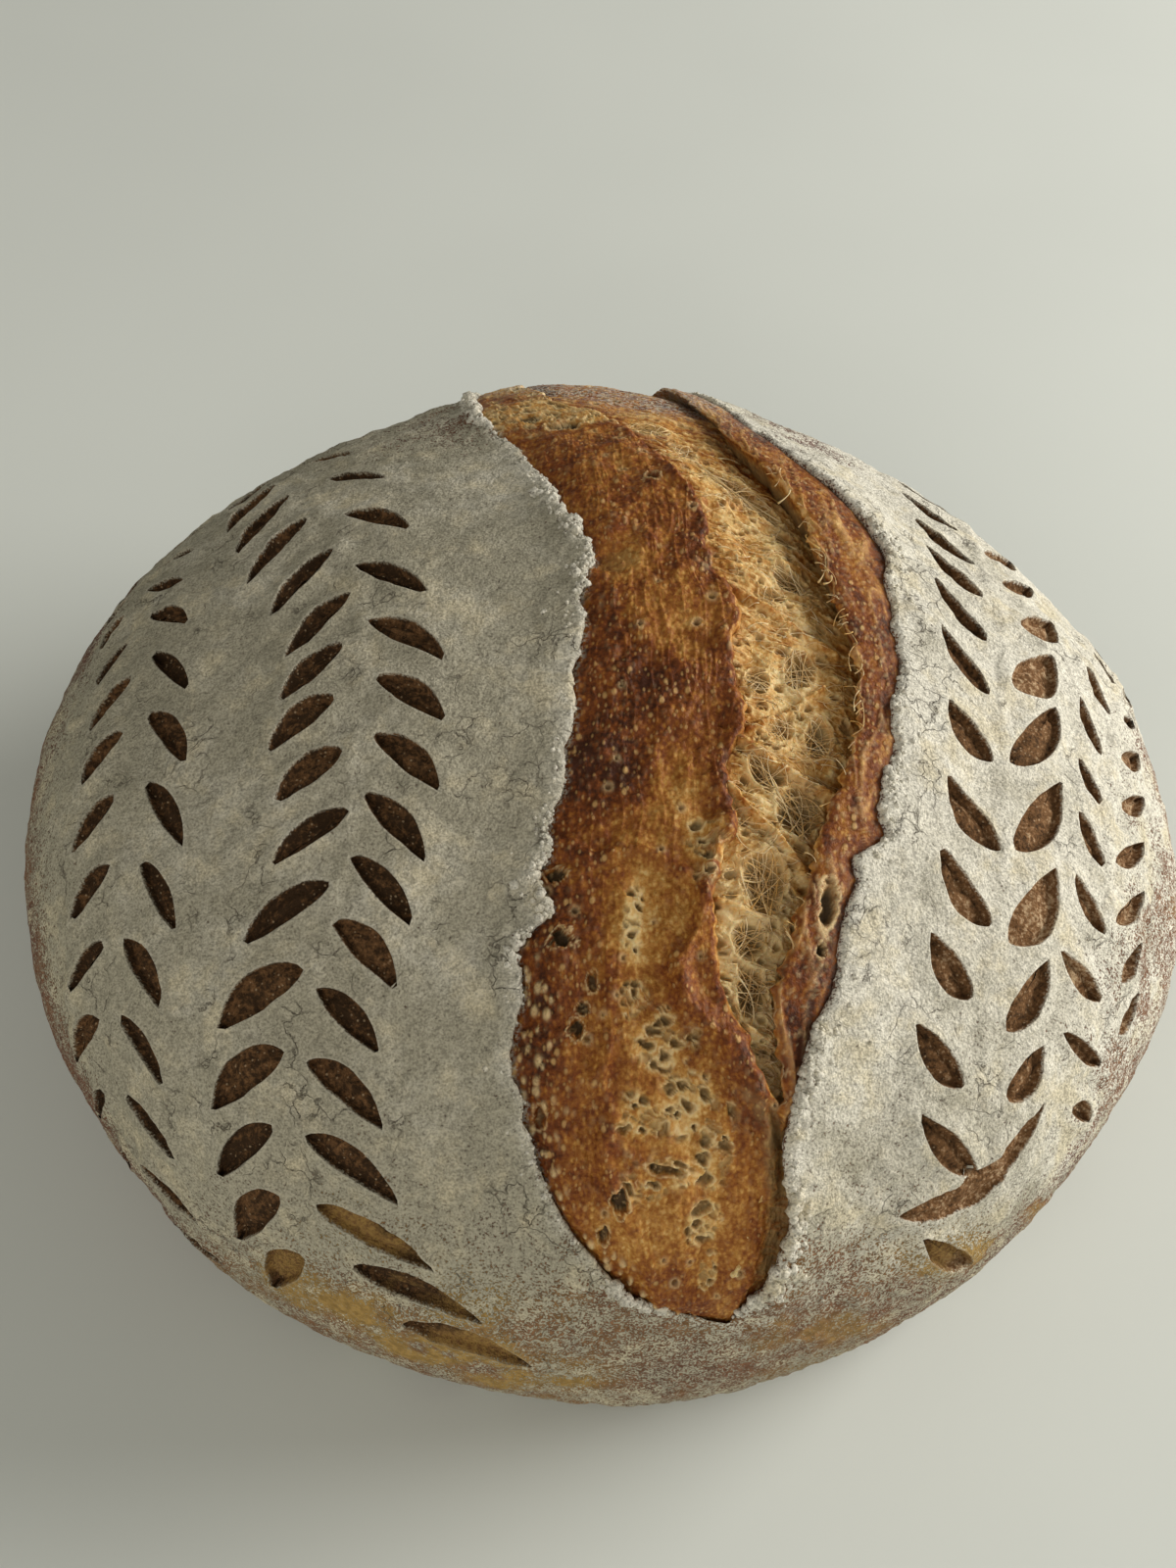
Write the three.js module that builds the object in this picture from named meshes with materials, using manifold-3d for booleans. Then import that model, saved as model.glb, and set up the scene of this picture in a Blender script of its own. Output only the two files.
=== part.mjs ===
// A round sourdough loaf: a floured dome with one long burst opening and four sprigs of scored leaves.
import * as THREE from "three";
import { mergeVertices } from "three/addons/utils/BufferGeometryUtils.js";
import Module from "manifold-3d";

// Driving dimensions, in millimetres and degrees.
// Z is up, X runs to the right, Y to the back, and the origin is the middle of the flat base.
const WIDTH = 220;
const DEPTH = 209;
const HEIGHT = 104;
const WIDEST_Z = 36;
const DOME_FULLNESS = 2.25;
const BASE_SHARE = 0.84;
const TOP_SHIFT = { x: -2, y: 6 };
// How far the plan departs from an ellipse, as shares of its radius: waves to a turn, cosine, sine.
const PLAN_WAVES = [
  { waves: 3, cosine: 0.0017, sine: -0.0077 },
  { waves: 4, cosine: 0.0141, sine: -0.004 },
  { waves: 5, cosine: 0.0077, sine: 0.0055 },
];

// The crust is laid out as a flat sheet: a to the right and b to the back are lengths measured over
// the crust from the top of the dome, so a mark keeps its true size wherever it is on the loaf.

// The long opening, as ribs from its front tip to its back tip: where along b the rib is, then along a
// the torn left edge, the top of the inner ridge, the thin edge of the ear and the right edge.
const OPENING_RIBS = [
  { b: -127, left: 32, ridge: 32, ear: 32, right: 32 },
  { b: -121, left: 10, ridge: 29, ear: 33, right: 34.5 },
  { b: -106, left: -5, ridge: 33, ear: 36, right: 37.5 },
  { b: -88, left: -11, ridge: 31, ear: 33, right: 35.5 },
  { b: -66, left: -11, ridge: 19.5, ear: 31, right: 39 },
  { b: -42, left: -8, ridge: 20.5, ear: 37.5, right: 46 },
  { b: -18, left: -6.5, ridge: 22.5, ear: 42, right: 48 },
  { b: 8, left: -6, ridge: 18, ear: 37, right: 47.5 },
  { b: 32, left: -13, ridge: 12, ear: 33.5, right: 47 },
  { b: 56, left: -26, ridge: -3, ear: 21, right: 31 },
  { b: 82, left: -33, ridge: -22, ear: 12, right: 19 },
  { b: 108, left: -21, ridge: -18, ear: 6.5, right: 11 },
  { b: 121, left: 4, ridge: 4, ear: 4, right: 4 },
];
const TIP_FADE = 0.13;
const EDGE_RAGGED = 1.1;
const CRUMB_RAGGED = 0.9;
const LEFT_LIP = { height: 1.0, reach: 9 };
const RIGHT_LIP = { height: 3.0, reach: 17 };

// Sections across the opening, from the left edge to the right edge. Each point lies between two of
// the rib's lines (from, to, share of the way), moved by a shift along a, at a height over the crust.
const OPENING_SECTION = [
  { from: "left", to: "ridge", share: 0, shift: 0, height: LEFT_LIP.height },
  { from: "left", to: "ridge", share: 0, shift: 0.9, height: -1.2 },
  { from: "left", to: "ridge", share: 0.24, shift: 0, height: 0.9 },
  { from: "left", to: "ridge", share: 0.55, shift: 0, height: 2.0 },
  { from: "left", to: "ridge", share: 0.9, shift: 0, height: 2.7 },
  { from: "ridge", to: "ear", share: 0.08, shift: 0, height: -1.4 },
  { from: "ridge", to: "ear", share: 0.4, shift: 0, height: -2.6 },
  { from: "ridge", to: "ear", share: 0.72, shift: 0, height: -4.6 },
  { from: "ridge", to: "ear", share: 0.98, shift: 0, height: -5.0 },
  { from: "ear", to: "right", share: 0, shift: 0, height: 1.0 },
  { from: "ear", to: "right", share: 0.12, shift: 0, height: 2.8 },
  { from: "ear", to: "right", share: 0.5, shift: 0, height: 3.0 },
  { from: "ear", to: "right", share: 0.92, shift: 0, height: 0.2 },
  { from: "ear", to: "right", share: 1, shift: 0, height: RIGHT_LIP.height },
];

// The four sprigs, each with a row of leaf cuts on either side of a stem that isn't cut itself.
// inner is the line of the leaves' inner ends, from the back round to the front. gap, length, turn and
// width run along that line from end to end; turn is the way the leaf points, in degrees from a to b.
const LEAF_ROWS = [
  {
    inner: [
      [-88, 96], [-79, 70], [-70, 50], [-57, 28], [-45, 6],
      [-45, -20], [-41, -43], [-49, -72], [-56, -97], [-55, -117],
    ],
    count: 19,
    gap: [12, 12, 12, 14, 11, 11, 14, 12, 12],
    length: [14, 18, 21, 19, 16, 14, 19, 18, 19],
    turn: [-95, -100, -103, -120, -131, -142, -154, -153, -147],
    width: [5, 5.5, 7.5],
  },
  {
    inner: [
      [-79, 98], [-72, 74], [-64, 54], [-54, 37], [-47, 17], [-40, -7],
      [-38, -28], [-41, -52], [-46, -72], [-49, -92], [-49, -108], [-36, -131],
    ],
    count: 19,
    gap: [13, 14, 17, 17, 13, 11, 11, 11, 12, 12, 16],
    length: [12, 10, 11, 16, 18, 16, 17, 17, 16, 20, 28, 30],
    turn: [0, -5, -10, -30, -34, -40, -51, -50, -46, -36, -24, -22],
    width: [4.5, 4.5, 5, 5, 6.5],
  },
  {
    inner: [
      [-98, 54], [-94, 36], [-90, 21], [-83, 3], [-80, -18],
      [-79, -42], [-85, -60], [-91, -82], [-108, -112],
    ],
    count: 14,
    gap: [12, 11, 12, 15, 15, 13, 16, 19],
    length: [11, 12, 10, 16, 17, 16, 17, 18, 25],
    turn: [5, -5, -22, -50, -57, -63, -59, -55, -26],
    width: [4, 4.5, 5, 5.5],
  },
  {
    inner: [[-104, 50], [-100, 32], [-94, 16], [-86, -4], [-85, -30], [-87, -50], [-94, -70], [-107, -94]],
    count: 13,
    gap: [12, 11, 12, 13, 13, 14, 15],
    length: [8, 8, 9, 13, 13, 14, 16, 20, 12],
    turn: [-105, -112, -120, -130, -139, -148, -158, -168, -160],
    width: [4, 4.5, 5, 5],
  },
  {
    inner: [
      [82, 92], [77, 70], [71, 50], [70, 30], [67, 14], [65, -8],
      [67, -26], [69, -43], [66, -63], [69, -82], [91, -109],
    ],
    count: 16,
    gap: [10.5, 10.5, 10.5, 17, 12.5, 13.5, 13, 17.5, 13, 14.5, 16, 30],
    length: [12, 14, 17, 16, 15, 15, 13, 17, 13, 15, 24],
    turn: [160, 160, 152, 135, 125, 126, 137, 137, 136, 150, 168],
    width: [4.5, 5.5, 6.5, 6.5, 6],
  },
  {
    inner: [[84, 76], [79, 58], [75, 41], [75, 17], [69, -6], [71, -36], [73, -62], [77, -77]],
    count: 12,
    gap: [12, 12, 12, 13, 18, 17, 18, 15, 10],
    length: [12, 12, 13, 11, 16, 20, 20, 18, 13],
    turn: [50, 48, 42, 37, 46, 58, 64, 66, 62],
    width: [5, 5.5, 6, 8, 7.5, 7.5],
  },
  {
    inner: [[112, 40], [104, 26], [97, 12], [91, -4], [90, -20], [94, -42], [96, -54], [106, -73]],
    count: 11,
    gap: [12, 13, 15, 12, 13, 13, 12, 12],
    length: [9, 10, 10, 13, 10, 12, 13, 15, 11],
    turn: [100, 105, 112, 110, 124, 130, 150, 172, 184],
    width: [3.5, 4, 4.5, 4],
  },
  {
    inner: [[103, 20], [97, 2], [94, -26], [97, -42], [104, -56]],
    count: 8,
    gap: [13, 13, 13, 12, 10],
    length: [9, 11, 13, 14, 11],
    turn: [38, 40, 42, 52, 70],
    width: [3.5, 4, 4],
  },
];
const LEAF_DEPTH = 1.9;
const LEAF_CROWN = 0.5;
// A leaf widens from its inner end as share ** LEAF_START, and narrows to its tip as
// (1 - share) ** LEAF_TIP.
const LEAF_START = 0.7;
const LEAF_TIP = 0.95;
const CUTTER_RISE = 4;

// Shallow tears of the skin low on the right, each a lens from one end to the other.
const TEARS = [
  { from: [60, -101], to: [82, -91], width: 4.5 },
  { from: [80, -93], to: [87, -73], width: 5 },
];
const TEAR_DEPTH = 1.1;

// Broad swells of a loaf shaped by hand: their height, and how far apart they lie along a and b.
const SWELLS = [
  { height: 0.55, overA: 23, overB: 31, phase: 0.6 },
  { height: 0.5, overA: 41, overB: -19, phase: 2 },
  { height: 0.3, overA: -13, overB: 17, phase: 1.1 },
];
const SWELL_FADE = 40;

// How finely the form is divided.
const STATIONS = 48;
const SKIN_STEPS = 13;
const LIP_STEPS = [0, 2.5, 8];
const SECTION_STEPS = 400;
const LINE_STEPS = 200;
const OUTLINE_STEPS = 4;
const NORMAL_STEP = 0.5;
const MERGE_DISTANCE = 0.002;
const SCATTER = { placeStep: 12.9898, seedStep: 78.233, height: 43758.5453 };

const CRUST_COLOUR = 0xb4a88c;
const CRUST_ROUGHNESS = 0.9;

const QUARTER_TURN = Math.PI / 2;
const radians = THREE.MathUtils.degToRad;
const mix = THREE.MathUtils.lerp;
const smooth = (low, high, value) => THREE.MathUtils.smoothstep(value, low, high);

// A number from 0 to 1 that is always the same for the same place and seed: what follows the point in
// the height of a very fast wave.
function scatter(place, seed) {
  const wave = Math.sin(place * SCATTER.placeStep + seed * SCATTER.seedStep) * SCATTER.height;
  return wave - Math.floor(wave);
}

// The value at share (0 to 1) of the way through evenly spaced knots.
function along(knots, share) {
  const place = THREE.MathUtils.clamp(share, 0, 1) * (knots.length - 1);
  const before = Math.min(Math.floor(place), knots.length - 2);
  return mix(knots[before], knots[before + 1], place - before);
}

// The same, as one smooth curve through the knots.
function alongCurve(knots, share) {
  const place = THREE.MathUtils.clamp(share, 0, 1) * (knots.length - 1);
  const before = Math.min(Math.floor(place), knots.length - 2);
  const knot = (index) => knots[THREE.MathUtils.clamp(index, 0, knots.length - 1)];
  const [p0, p1, p2, p3] = [-1, 0, 1, 2].map((step) => knot(before + step));
  const f = place - before;
  const cubic = 2 * p1 + (p2 - p0) * f + (2 * p0 - 5 * p1 + 4 * p2 - p3) * f * f;
  return (cubic + (3 * p1 - p0 - 3 * p2 + p3) * f ** 3) / 2;
}

// The dome's section from its top to the edge of the flat base: share of the plan radius, height and
// the length of crust from the top.
function domeSection() {
  const section = [];
  for (let i = 0; i <= SECTION_STEPS; i++) {
    const angle = (i / SECTION_STEPS) * QUARTER_TURN;
    const power = 2 / DOME_FULLNESS;
    const z = WIDEST_Z + (HEIGHT - WIDEST_Z) * Math.max(Math.cos(angle), 0) ** power;
    section.push({ radius: Math.sin(angle) ** power, z });
  }
  for (let i = 1; i <= SECTION_STEPS / 2; i++) {
    const angle = (i / (SECTION_STEPS / 2)) * QUARTER_TURN;
    const radius = 1 - (1 - BASE_SHARE) * (1 - Math.cos(angle));
    section.push({ radius, z: WIDEST_Z * (1 - Math.sin(angle)) });
  }
  const meanRadius = (WIDTH + DEPTH) / 4;
  section[0].crust = 0;
  for (let i = 1; i < section.length; i++) {
    const run = (section[i].radius - section[i - 1].radius) * meanRadius;
    section[i].crust = section[i - 1].crust + Math.hypot(run, section[i].z - section[i - 1].z);
  }
  return section;
}
const SECTION = domeSection();
const RIM = SECTION.at(-1).crust;

function sectionAt(crust) {
  let low = 0;
  let high = SECTION.length - 1;
  while (high - low > 1) {
    const middle = (low + high) >> 1;
    if (SECTION[middle].crust > crust) high = middle;
    else low = middle;
  }
  const from = SECTION[low];
  const to = SECTION[high];
  const share = THREE.MathUtils.clamp((crust - from.crust) / (to.crust - from.crust), 0, 1);
  return { radius: mix(from.radius, to.radius, share), z: mix(from.z, to.z, share) };
}

function planRadius(angle) {
  const ellipse = 1 / Math.hypot(Math.cos(angle) / (WIDTH / 2), Math.sin(angle) / (DEPTH / 2));
  const waves = PLAN_WAVES.map(
    ({ waves, cosine, sine }) => cosine * Math.cos(waves * angle) + sine * Math.sin(waves * angle),
  );
  return ellipse * waves.reduce((total, wave) => total + wave, 1);
}

function domePoint(a, b) {
  const angle = Math.atan2(b, a);
  const { radius, z } = sectionAt(Math.hypot(a, b));
  const reach = planRadius(angle) * radius;
  const lean = z / HEIGHT;
  return new THREE.Vector3(
    reach * Math.cos(angle) + TOP_SHIFT.x * lean,
    reach * Math.sin(angle) + TOP_SHIFT.y * lean,
    z,
  );
}

function domeNormal(a, b) {
  const acrossA = domePoint(a + NORMAL_STEP, b).sub(domePoint(a - NORMAL_STEP, b));
  const acrossB = domePoint(a, b + NORMAL_STEP).sub(domePoint(a, b - NORMAL_STEP));
  return acrossA.cross(acrossB).normalize();
}

// The height of the swells at (a, b), which die out towards the flat base.
function unevenness(a, b) {
  const heights = SWELLS.map(
    ({ height, overA, overB, phase }) => height * Math.sin(a / overA + b / overB + phase),
  );
  const fade = smooth(0, SWELL_FADE, RIM - Math.hypot(a, b));
  return heights.reduce((total, height) => total + height, 0) * fade;
}

// The crust at (a, b), raised by height along its normal. The rim is kept on the ground.
function crustPoint(a, b, height) {
  if (Math.hypot(a, b) > RIM - MERGE_DISTANCE) {
    return domePoint(a, b).setZ(0);
  }
  return domePoint(a, b).addScaledVector(domeNormal(a, b), height + unevenness(a, b));
}

function ribAt(share) {
  const rib = {};
  for (const line of Object.keys(OPENING_RIBS[0])) {
    rib[line] = alongCurve(OPENING_RIBS.map((each) => each[line]), share);
  }
  return rib;
}

// How far open the split is at this share of its length: 0 at its two tips, 1 between them.
function openness(share) {
  return smooth(0, TIP_FADE, Math.min(share, 1 - share));
}

// The ragged shift of one point of an edge or of the crumb.
function ragged(station, column, size) {
  return (scatter(station, column) - 0.5) * 2 * size * openness(station / STATIONS);
}

function openingPoint(station, column) {
  const share = station / STATIONS;
  const rib = ribAt(share);
  const place = OPENING_SECTION[column];
  const outer = column === 0 || column === OPENING_SECTION.length - 1;
  const open = openness(share);
  const lifted = outer ? 0 : ragged(station, column, CRUMB_RAGGED);
  const torn = ragged(station, column + OPENING_SECTION.length, EDGE_RAGGED);
  const a = mix(rib[place.from], rib[place.to], place.share) + place.shift * open;
  return { a: a + torn * (outer ? 1 : 0.5), b: rib.b, height: place.height * open + lifted };
}

// A row of points over the skin, from the edge of the opening down to the rim of the base.
function skinRow(station, column, lip, rimAngle) {
  const edge = openingPoint(station, column);
  const rim = { a: RIM * Math.cos(rimAngle), b: RIM * Math.sin(rimAngle) };
  const length = Math.hypot(rim.a - edge.a, rim.b - edge.b);
  const lastLip = LIP_STEPS.at(-1);
  const steps = Array.from({ length: SKIN_STEPS }, (_, i) => mix(lastLip, length, (i + 1) / SKIN_STEPS));
  return [...LIP_STEPS, ...steps].map((distance) => {
    const share = distance / length;
    const fade = 1 - smooth(0, lip.reach, distance);
    return crustPoint(mix(edge.a, rim.a, share), mix(edge.b, rim.b, share), edge.height * fade);
  });
}

// The triangles between two neighbouring rows of points, turned to face out.
function stitch(triangles, row, nextRow, flipped) {
  for (let i = 0; i + 1 < row.length; i++) {
    const corners = [row[i], row[i + 1], nextRow[i + 1], nextRow[i]];
    if (flipped) corners.reverse();
    const [p, q, r, s] = corners;
    triangles.push([p, q, r], [p, r, s]);
  }
}

function toSolid(wasm, triangles) {
  const positions = triangles.flat().flatMap((point) => point.toArray());
  const loose = new THREE.BufferGeometry();
  loose.setAttribute("position", new THREE.Float32BufferAttribute(positions, 3));
  const merged = mergeVertices(loose, MERGE_DISTANCE);
  const corners = [];
  for (let i = 0; i < merged.index.count; i += 3) {
    const [p, q, r] = [0, 1, 2].map((corner) => merged.index.getX(i + corner));
    if (p !== q && q !== r && r !== p) corners.push(p, q, r);
  }
  const mesh = new wasm.Mesh({
    numProp: 3,
    vertProperties: merged.attributes.position.array,
    triVerts: new Uint32Array(corners),
  });
  return new wasm.Manifold(mesh);
}

// The whole loaf before the leaves are cut: the two floured skins, the opening and the flat base.
function loafBody(wasm) {
  const columns = OPENING_SECTION.length;
  const frontAngle = Math.atan2(OPENING_RIBS[0].b, OPENING_RIBS[0].left);
  const backAngle = Math.atan2(OPENING_RIBS.at(-1).b, OPENING_RIBS.at(-1).left);
  const rows = [];
  for (let station = 0; station <= STATIONS; station++) {
    const share = station / STATIONS;
    const leftAngle = mix(frontAngle, backAngle - 2 * Math.PI, share);
    const rightAngle = mix(frontAngle, backAngle, share);
    const opening = Array.from({ length: columns }, (_, column) => {
      const { a, b, height } = openingPoint(station, column);
      return crustPoint(a, b, height);
    });
    const left = skinRow(station, 0, LEFT_LIP, leftAngle);
    const right = skinRow(station, columns - 1, RIGHT_LIP, rightAngle);
    rows.push({ left, opening, right });
  }
  const triangles = [];
  const middle = new THREE.Vector3(0, 0, 0);
  for (let station = 0; station < STATIONS; station++) {
    const [row, next] = [rows[station], rows[station + 1]];
    stitch(triangles, row.left, next.left, true);
    stitch(triangles, row.opening, next.opening, false);
    stitch(triangles, row.right, next.right, false);
    triangles.push([row.left.at(-1), next.left.at(-1), middle]);
    triangles.push([next.right.at(-1), row.right.at(-1), middle]);
  }
  return toSolid(wasm, triangles);
}

// Where each leaf of a row starts: evenly by the row's gaps along the line of inner ends.
function leafStarts(row) {
  const line = Array.from({ length: LINE_STEPS + 1 }, (_, i) => ({
    a: alongCurve(row.inner.map((point) => point[0]), i / LINE_STEPS),
    b: alongCurve(row.inner.map((point) => point[1]), i / LINE_STEPS),
  }));
  const lengths = [0];
  for (let i = 1; i <= LINE_STEPS; i++) {
    lengths.push(lengths[i - 1] + Math.hypot(line[i].a - line[i - 1].a, line[i].b - line[i - 1].b));
  }
  const marks = [0];
  for (let leaf = 1; leaf < row.count; leaf++) {
    marks.push(marks[leaf - 1] + along(row.gap, (leaf - 0.5) / (row.count - 1)));
  }
  return marks.map((mark) => {
    const wanted = (mark / marks.at(-1)) * lengths[LINE_STEPS];
    const index = Math.max(1, lengths.findIndex((length) => length >= wanted - MERGE_DISTANCE));
    const share = (wanted - lengths[index - 1]) / (lengths[index] - lengths[index - 1]);
    return {
      a: mix(line[index - 1].a, line[index].a, share),
      b: mix(line[index - 1].b, line[index].b, share),
    };
  });
}

// How wide a leaf is at a share of its length: 0 at both ends and 1 where it is widest.
function leafForm(share) {
  const form = (place) => place ** LEAF_START * (1 - place) ** LEAF_TIP;
  return form(share) / form(LEAF_START / (LEAF_START + LEAF_TIP));
}

// One leaf as a block that reaches from above the crust down to its slightly crowned floor. Its
// outline runs from the blunt inner end round to it again.
function leafCutter(wasm, start, length, turn, width, depth) {
  const side = (sign) =>
    Array.from({ length: OUTLINE_STEPS + 1 }, (_, i) => {
      const share = i / OUTLINE_STEPS;
      const across = sign * (width / 2) * leafForm(share);
      return {
        a: start.a + length * share * Math.cos(turn) - across * Math.sin(turn),
        b: start.b + length * share * Math.sin(turn) + across * Math.cos(turn),
      };
    });
  const outline = [...side(-1), ...side(1).slice(1, -1).reverse()];
  const middleA = start.a + (length / 2) * Math.cos(turn);
  const middleB = start.b + (length / 2) * Math.sin(turn);
  const top = outline.map(({ a, b }) => crustPoint(a, b, CUTTER_RISE));
  const floor = outline.map(({ a, b }) => crustPoint(a, b, -depth));
  const topMiddle = crustPoint(middleA, middleB, CUTTER_RISE);
  const floorMiddle = crustPoint(middleA, middleB, LEAF_CROWN - depth);
  const triangles = [];
  for (let i = 0; i < outline.length; i++) {
    const next = (i + 1) % outline.length;
    triangles.push([top[i], top[next], topMiddle], [floor[next], floor[i], floorMiddle]);
    triangles.push([floor[i], floor[next], top[next]], [floor[i], top[next], top[i]]);
  }
  return toSolid(wasm, triangles);
}

function leafCutters(wasm) {
  return LEAF_ROWS.flatMap((row) =>
    leafStarts(row).map((start, index) => {
      const share = index / (row.count - 1);
      const [length, turn, width] = [row.length, row.turn, row.width].map((knots) => along(knots, share));
      return leafCutter(wasm, start, length, radians(turn), width, LEAF_DEPTH);
    }),
  );
}

function tearCutters(wasm) {
  return TEARS.map(({ from, to, width }) => {
    const [runA, runB] = [to[0] - from[0], to[1] - from[1]];
    const start = { a: from[0], b: from[1] };
    return leafCutter(wasm, start, Math.hypot(runA, runB), Math.atan2(runB, runA), width, TEAR_DEPTH);
  });
}

function loafMesh(wasm) {
  const cutters = [...leafCutters(wasm), ...tearCutters(wasm)];
  const cutLoaf = cutters.reduce((loaf, cutter) => loaf.subtract(cutter), loafBody(wasm));
  const { vertProperties, triVerts } = cutLoaf.getMesh();
  const geometry = new THREE.BufferGeometry();
  geometry.setAttribute("position", new THREE.Float32BufferAttribute(vertProperties, 3));
  geometry.setIndex(new THREE.Uint32BufferAttribute(triVerts, 1));
  geometry.computeVertexNormals();
  const crust = new THREE.MeshStandardMaterial({ color: CRUST_COLOUR, roughness: CRUST_ROUGHNESS });
  const mesh = new THREE.Mesh(geometry, crust);
  mesh.name = "loaf";
  return mesh;
}

const wasm = await Module();
wasm.setup();

const part = new THREE.Group();
part.add(loafMesh(wasm));

export default part;
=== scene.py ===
"""A round sourdough loaf: floured crust with leaf cuts, and a burst opening of torn golden crumb."""
import math
import bpy
import numpy as np
from mathutils import Matrix, Vector


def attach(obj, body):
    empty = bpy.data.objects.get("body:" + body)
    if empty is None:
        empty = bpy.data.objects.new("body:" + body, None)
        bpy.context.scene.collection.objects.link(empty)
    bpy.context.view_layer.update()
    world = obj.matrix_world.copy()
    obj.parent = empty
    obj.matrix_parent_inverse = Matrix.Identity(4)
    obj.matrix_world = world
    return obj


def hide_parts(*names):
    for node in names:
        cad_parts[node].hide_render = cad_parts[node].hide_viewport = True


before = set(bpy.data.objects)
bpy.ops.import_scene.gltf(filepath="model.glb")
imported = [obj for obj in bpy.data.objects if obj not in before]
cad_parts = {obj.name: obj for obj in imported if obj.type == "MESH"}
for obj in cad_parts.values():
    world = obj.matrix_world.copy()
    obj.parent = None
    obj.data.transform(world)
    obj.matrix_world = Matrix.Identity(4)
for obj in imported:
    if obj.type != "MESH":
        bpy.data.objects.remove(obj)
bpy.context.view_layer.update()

# Driving dimensions, in millimetres and degrees, as in the solid.
MM = 0.001
WIDTH = 220.0
DEPTH = 209.0
HEIGHT = 104.0
WIDEST_Z = 36.0
DOME_FULLNESS = 2.25
BASE_SHARE = 0.84
TOP_SHIFT = (-2.0, 6.0)
# Waves to a turn of the plan, with the cosine and sine of each as shares of the radius.
PLAN_WAVES = [(3, 0.0017, -0.0077), (4, 0.0141, -0.004), (5, 0.0077, 0.0055)]
# Broad swells: height, millimetres to a radian along a and b, and phase.
SWELLS = [(0.55, 23, 31, 0.6), (0.5, 41, -19, 2.0), (0.3, -13, 17, 1.1)]
SWELL_FADE = 40.0
# A distance that counts as nowhere near.
FAR = 9.0

# The crust is laid out as a flat sheet: a to the right and b to the back are lengths over the crust
# from the top of the dome. Ribs of the opening from its front tip to its back tip: b, then along a the
# left edge, the top of the inner ridge, the thin edge of the ear and the right edge.
OPENING_RIBS = np.array([
    (-127, 32, 32, 32, 32),
    (-121, 10, 29, 33, 34.5),
    (-106, -5, 33, 36, 37.5),
    (-88, -11, 31, 33, 35.5),
    (-66, -11, 19.5, 31, 39),
    (-42, -8, 20.5, 37.5, 46),
    (-18, -6.5, 22.5, 42, 48),
    (8, -6, 18, 37, 47.5),
    (32, -13, 12, 33.5, 47),
    (56, -26, -3, 21, 31),
    (82, -33, -22, 12, 19),
    (108, -21, -18, 6.5, 11),
    (121, 4, 4, 4, 4),
])
TIP_FADE = 0.13
LEFT_LIP = 1.0
LEFT_LIP_REACH = 9.0
RIGHT_LIP = 3.0
RIGHT_LIP_REACH = 17.0

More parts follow.
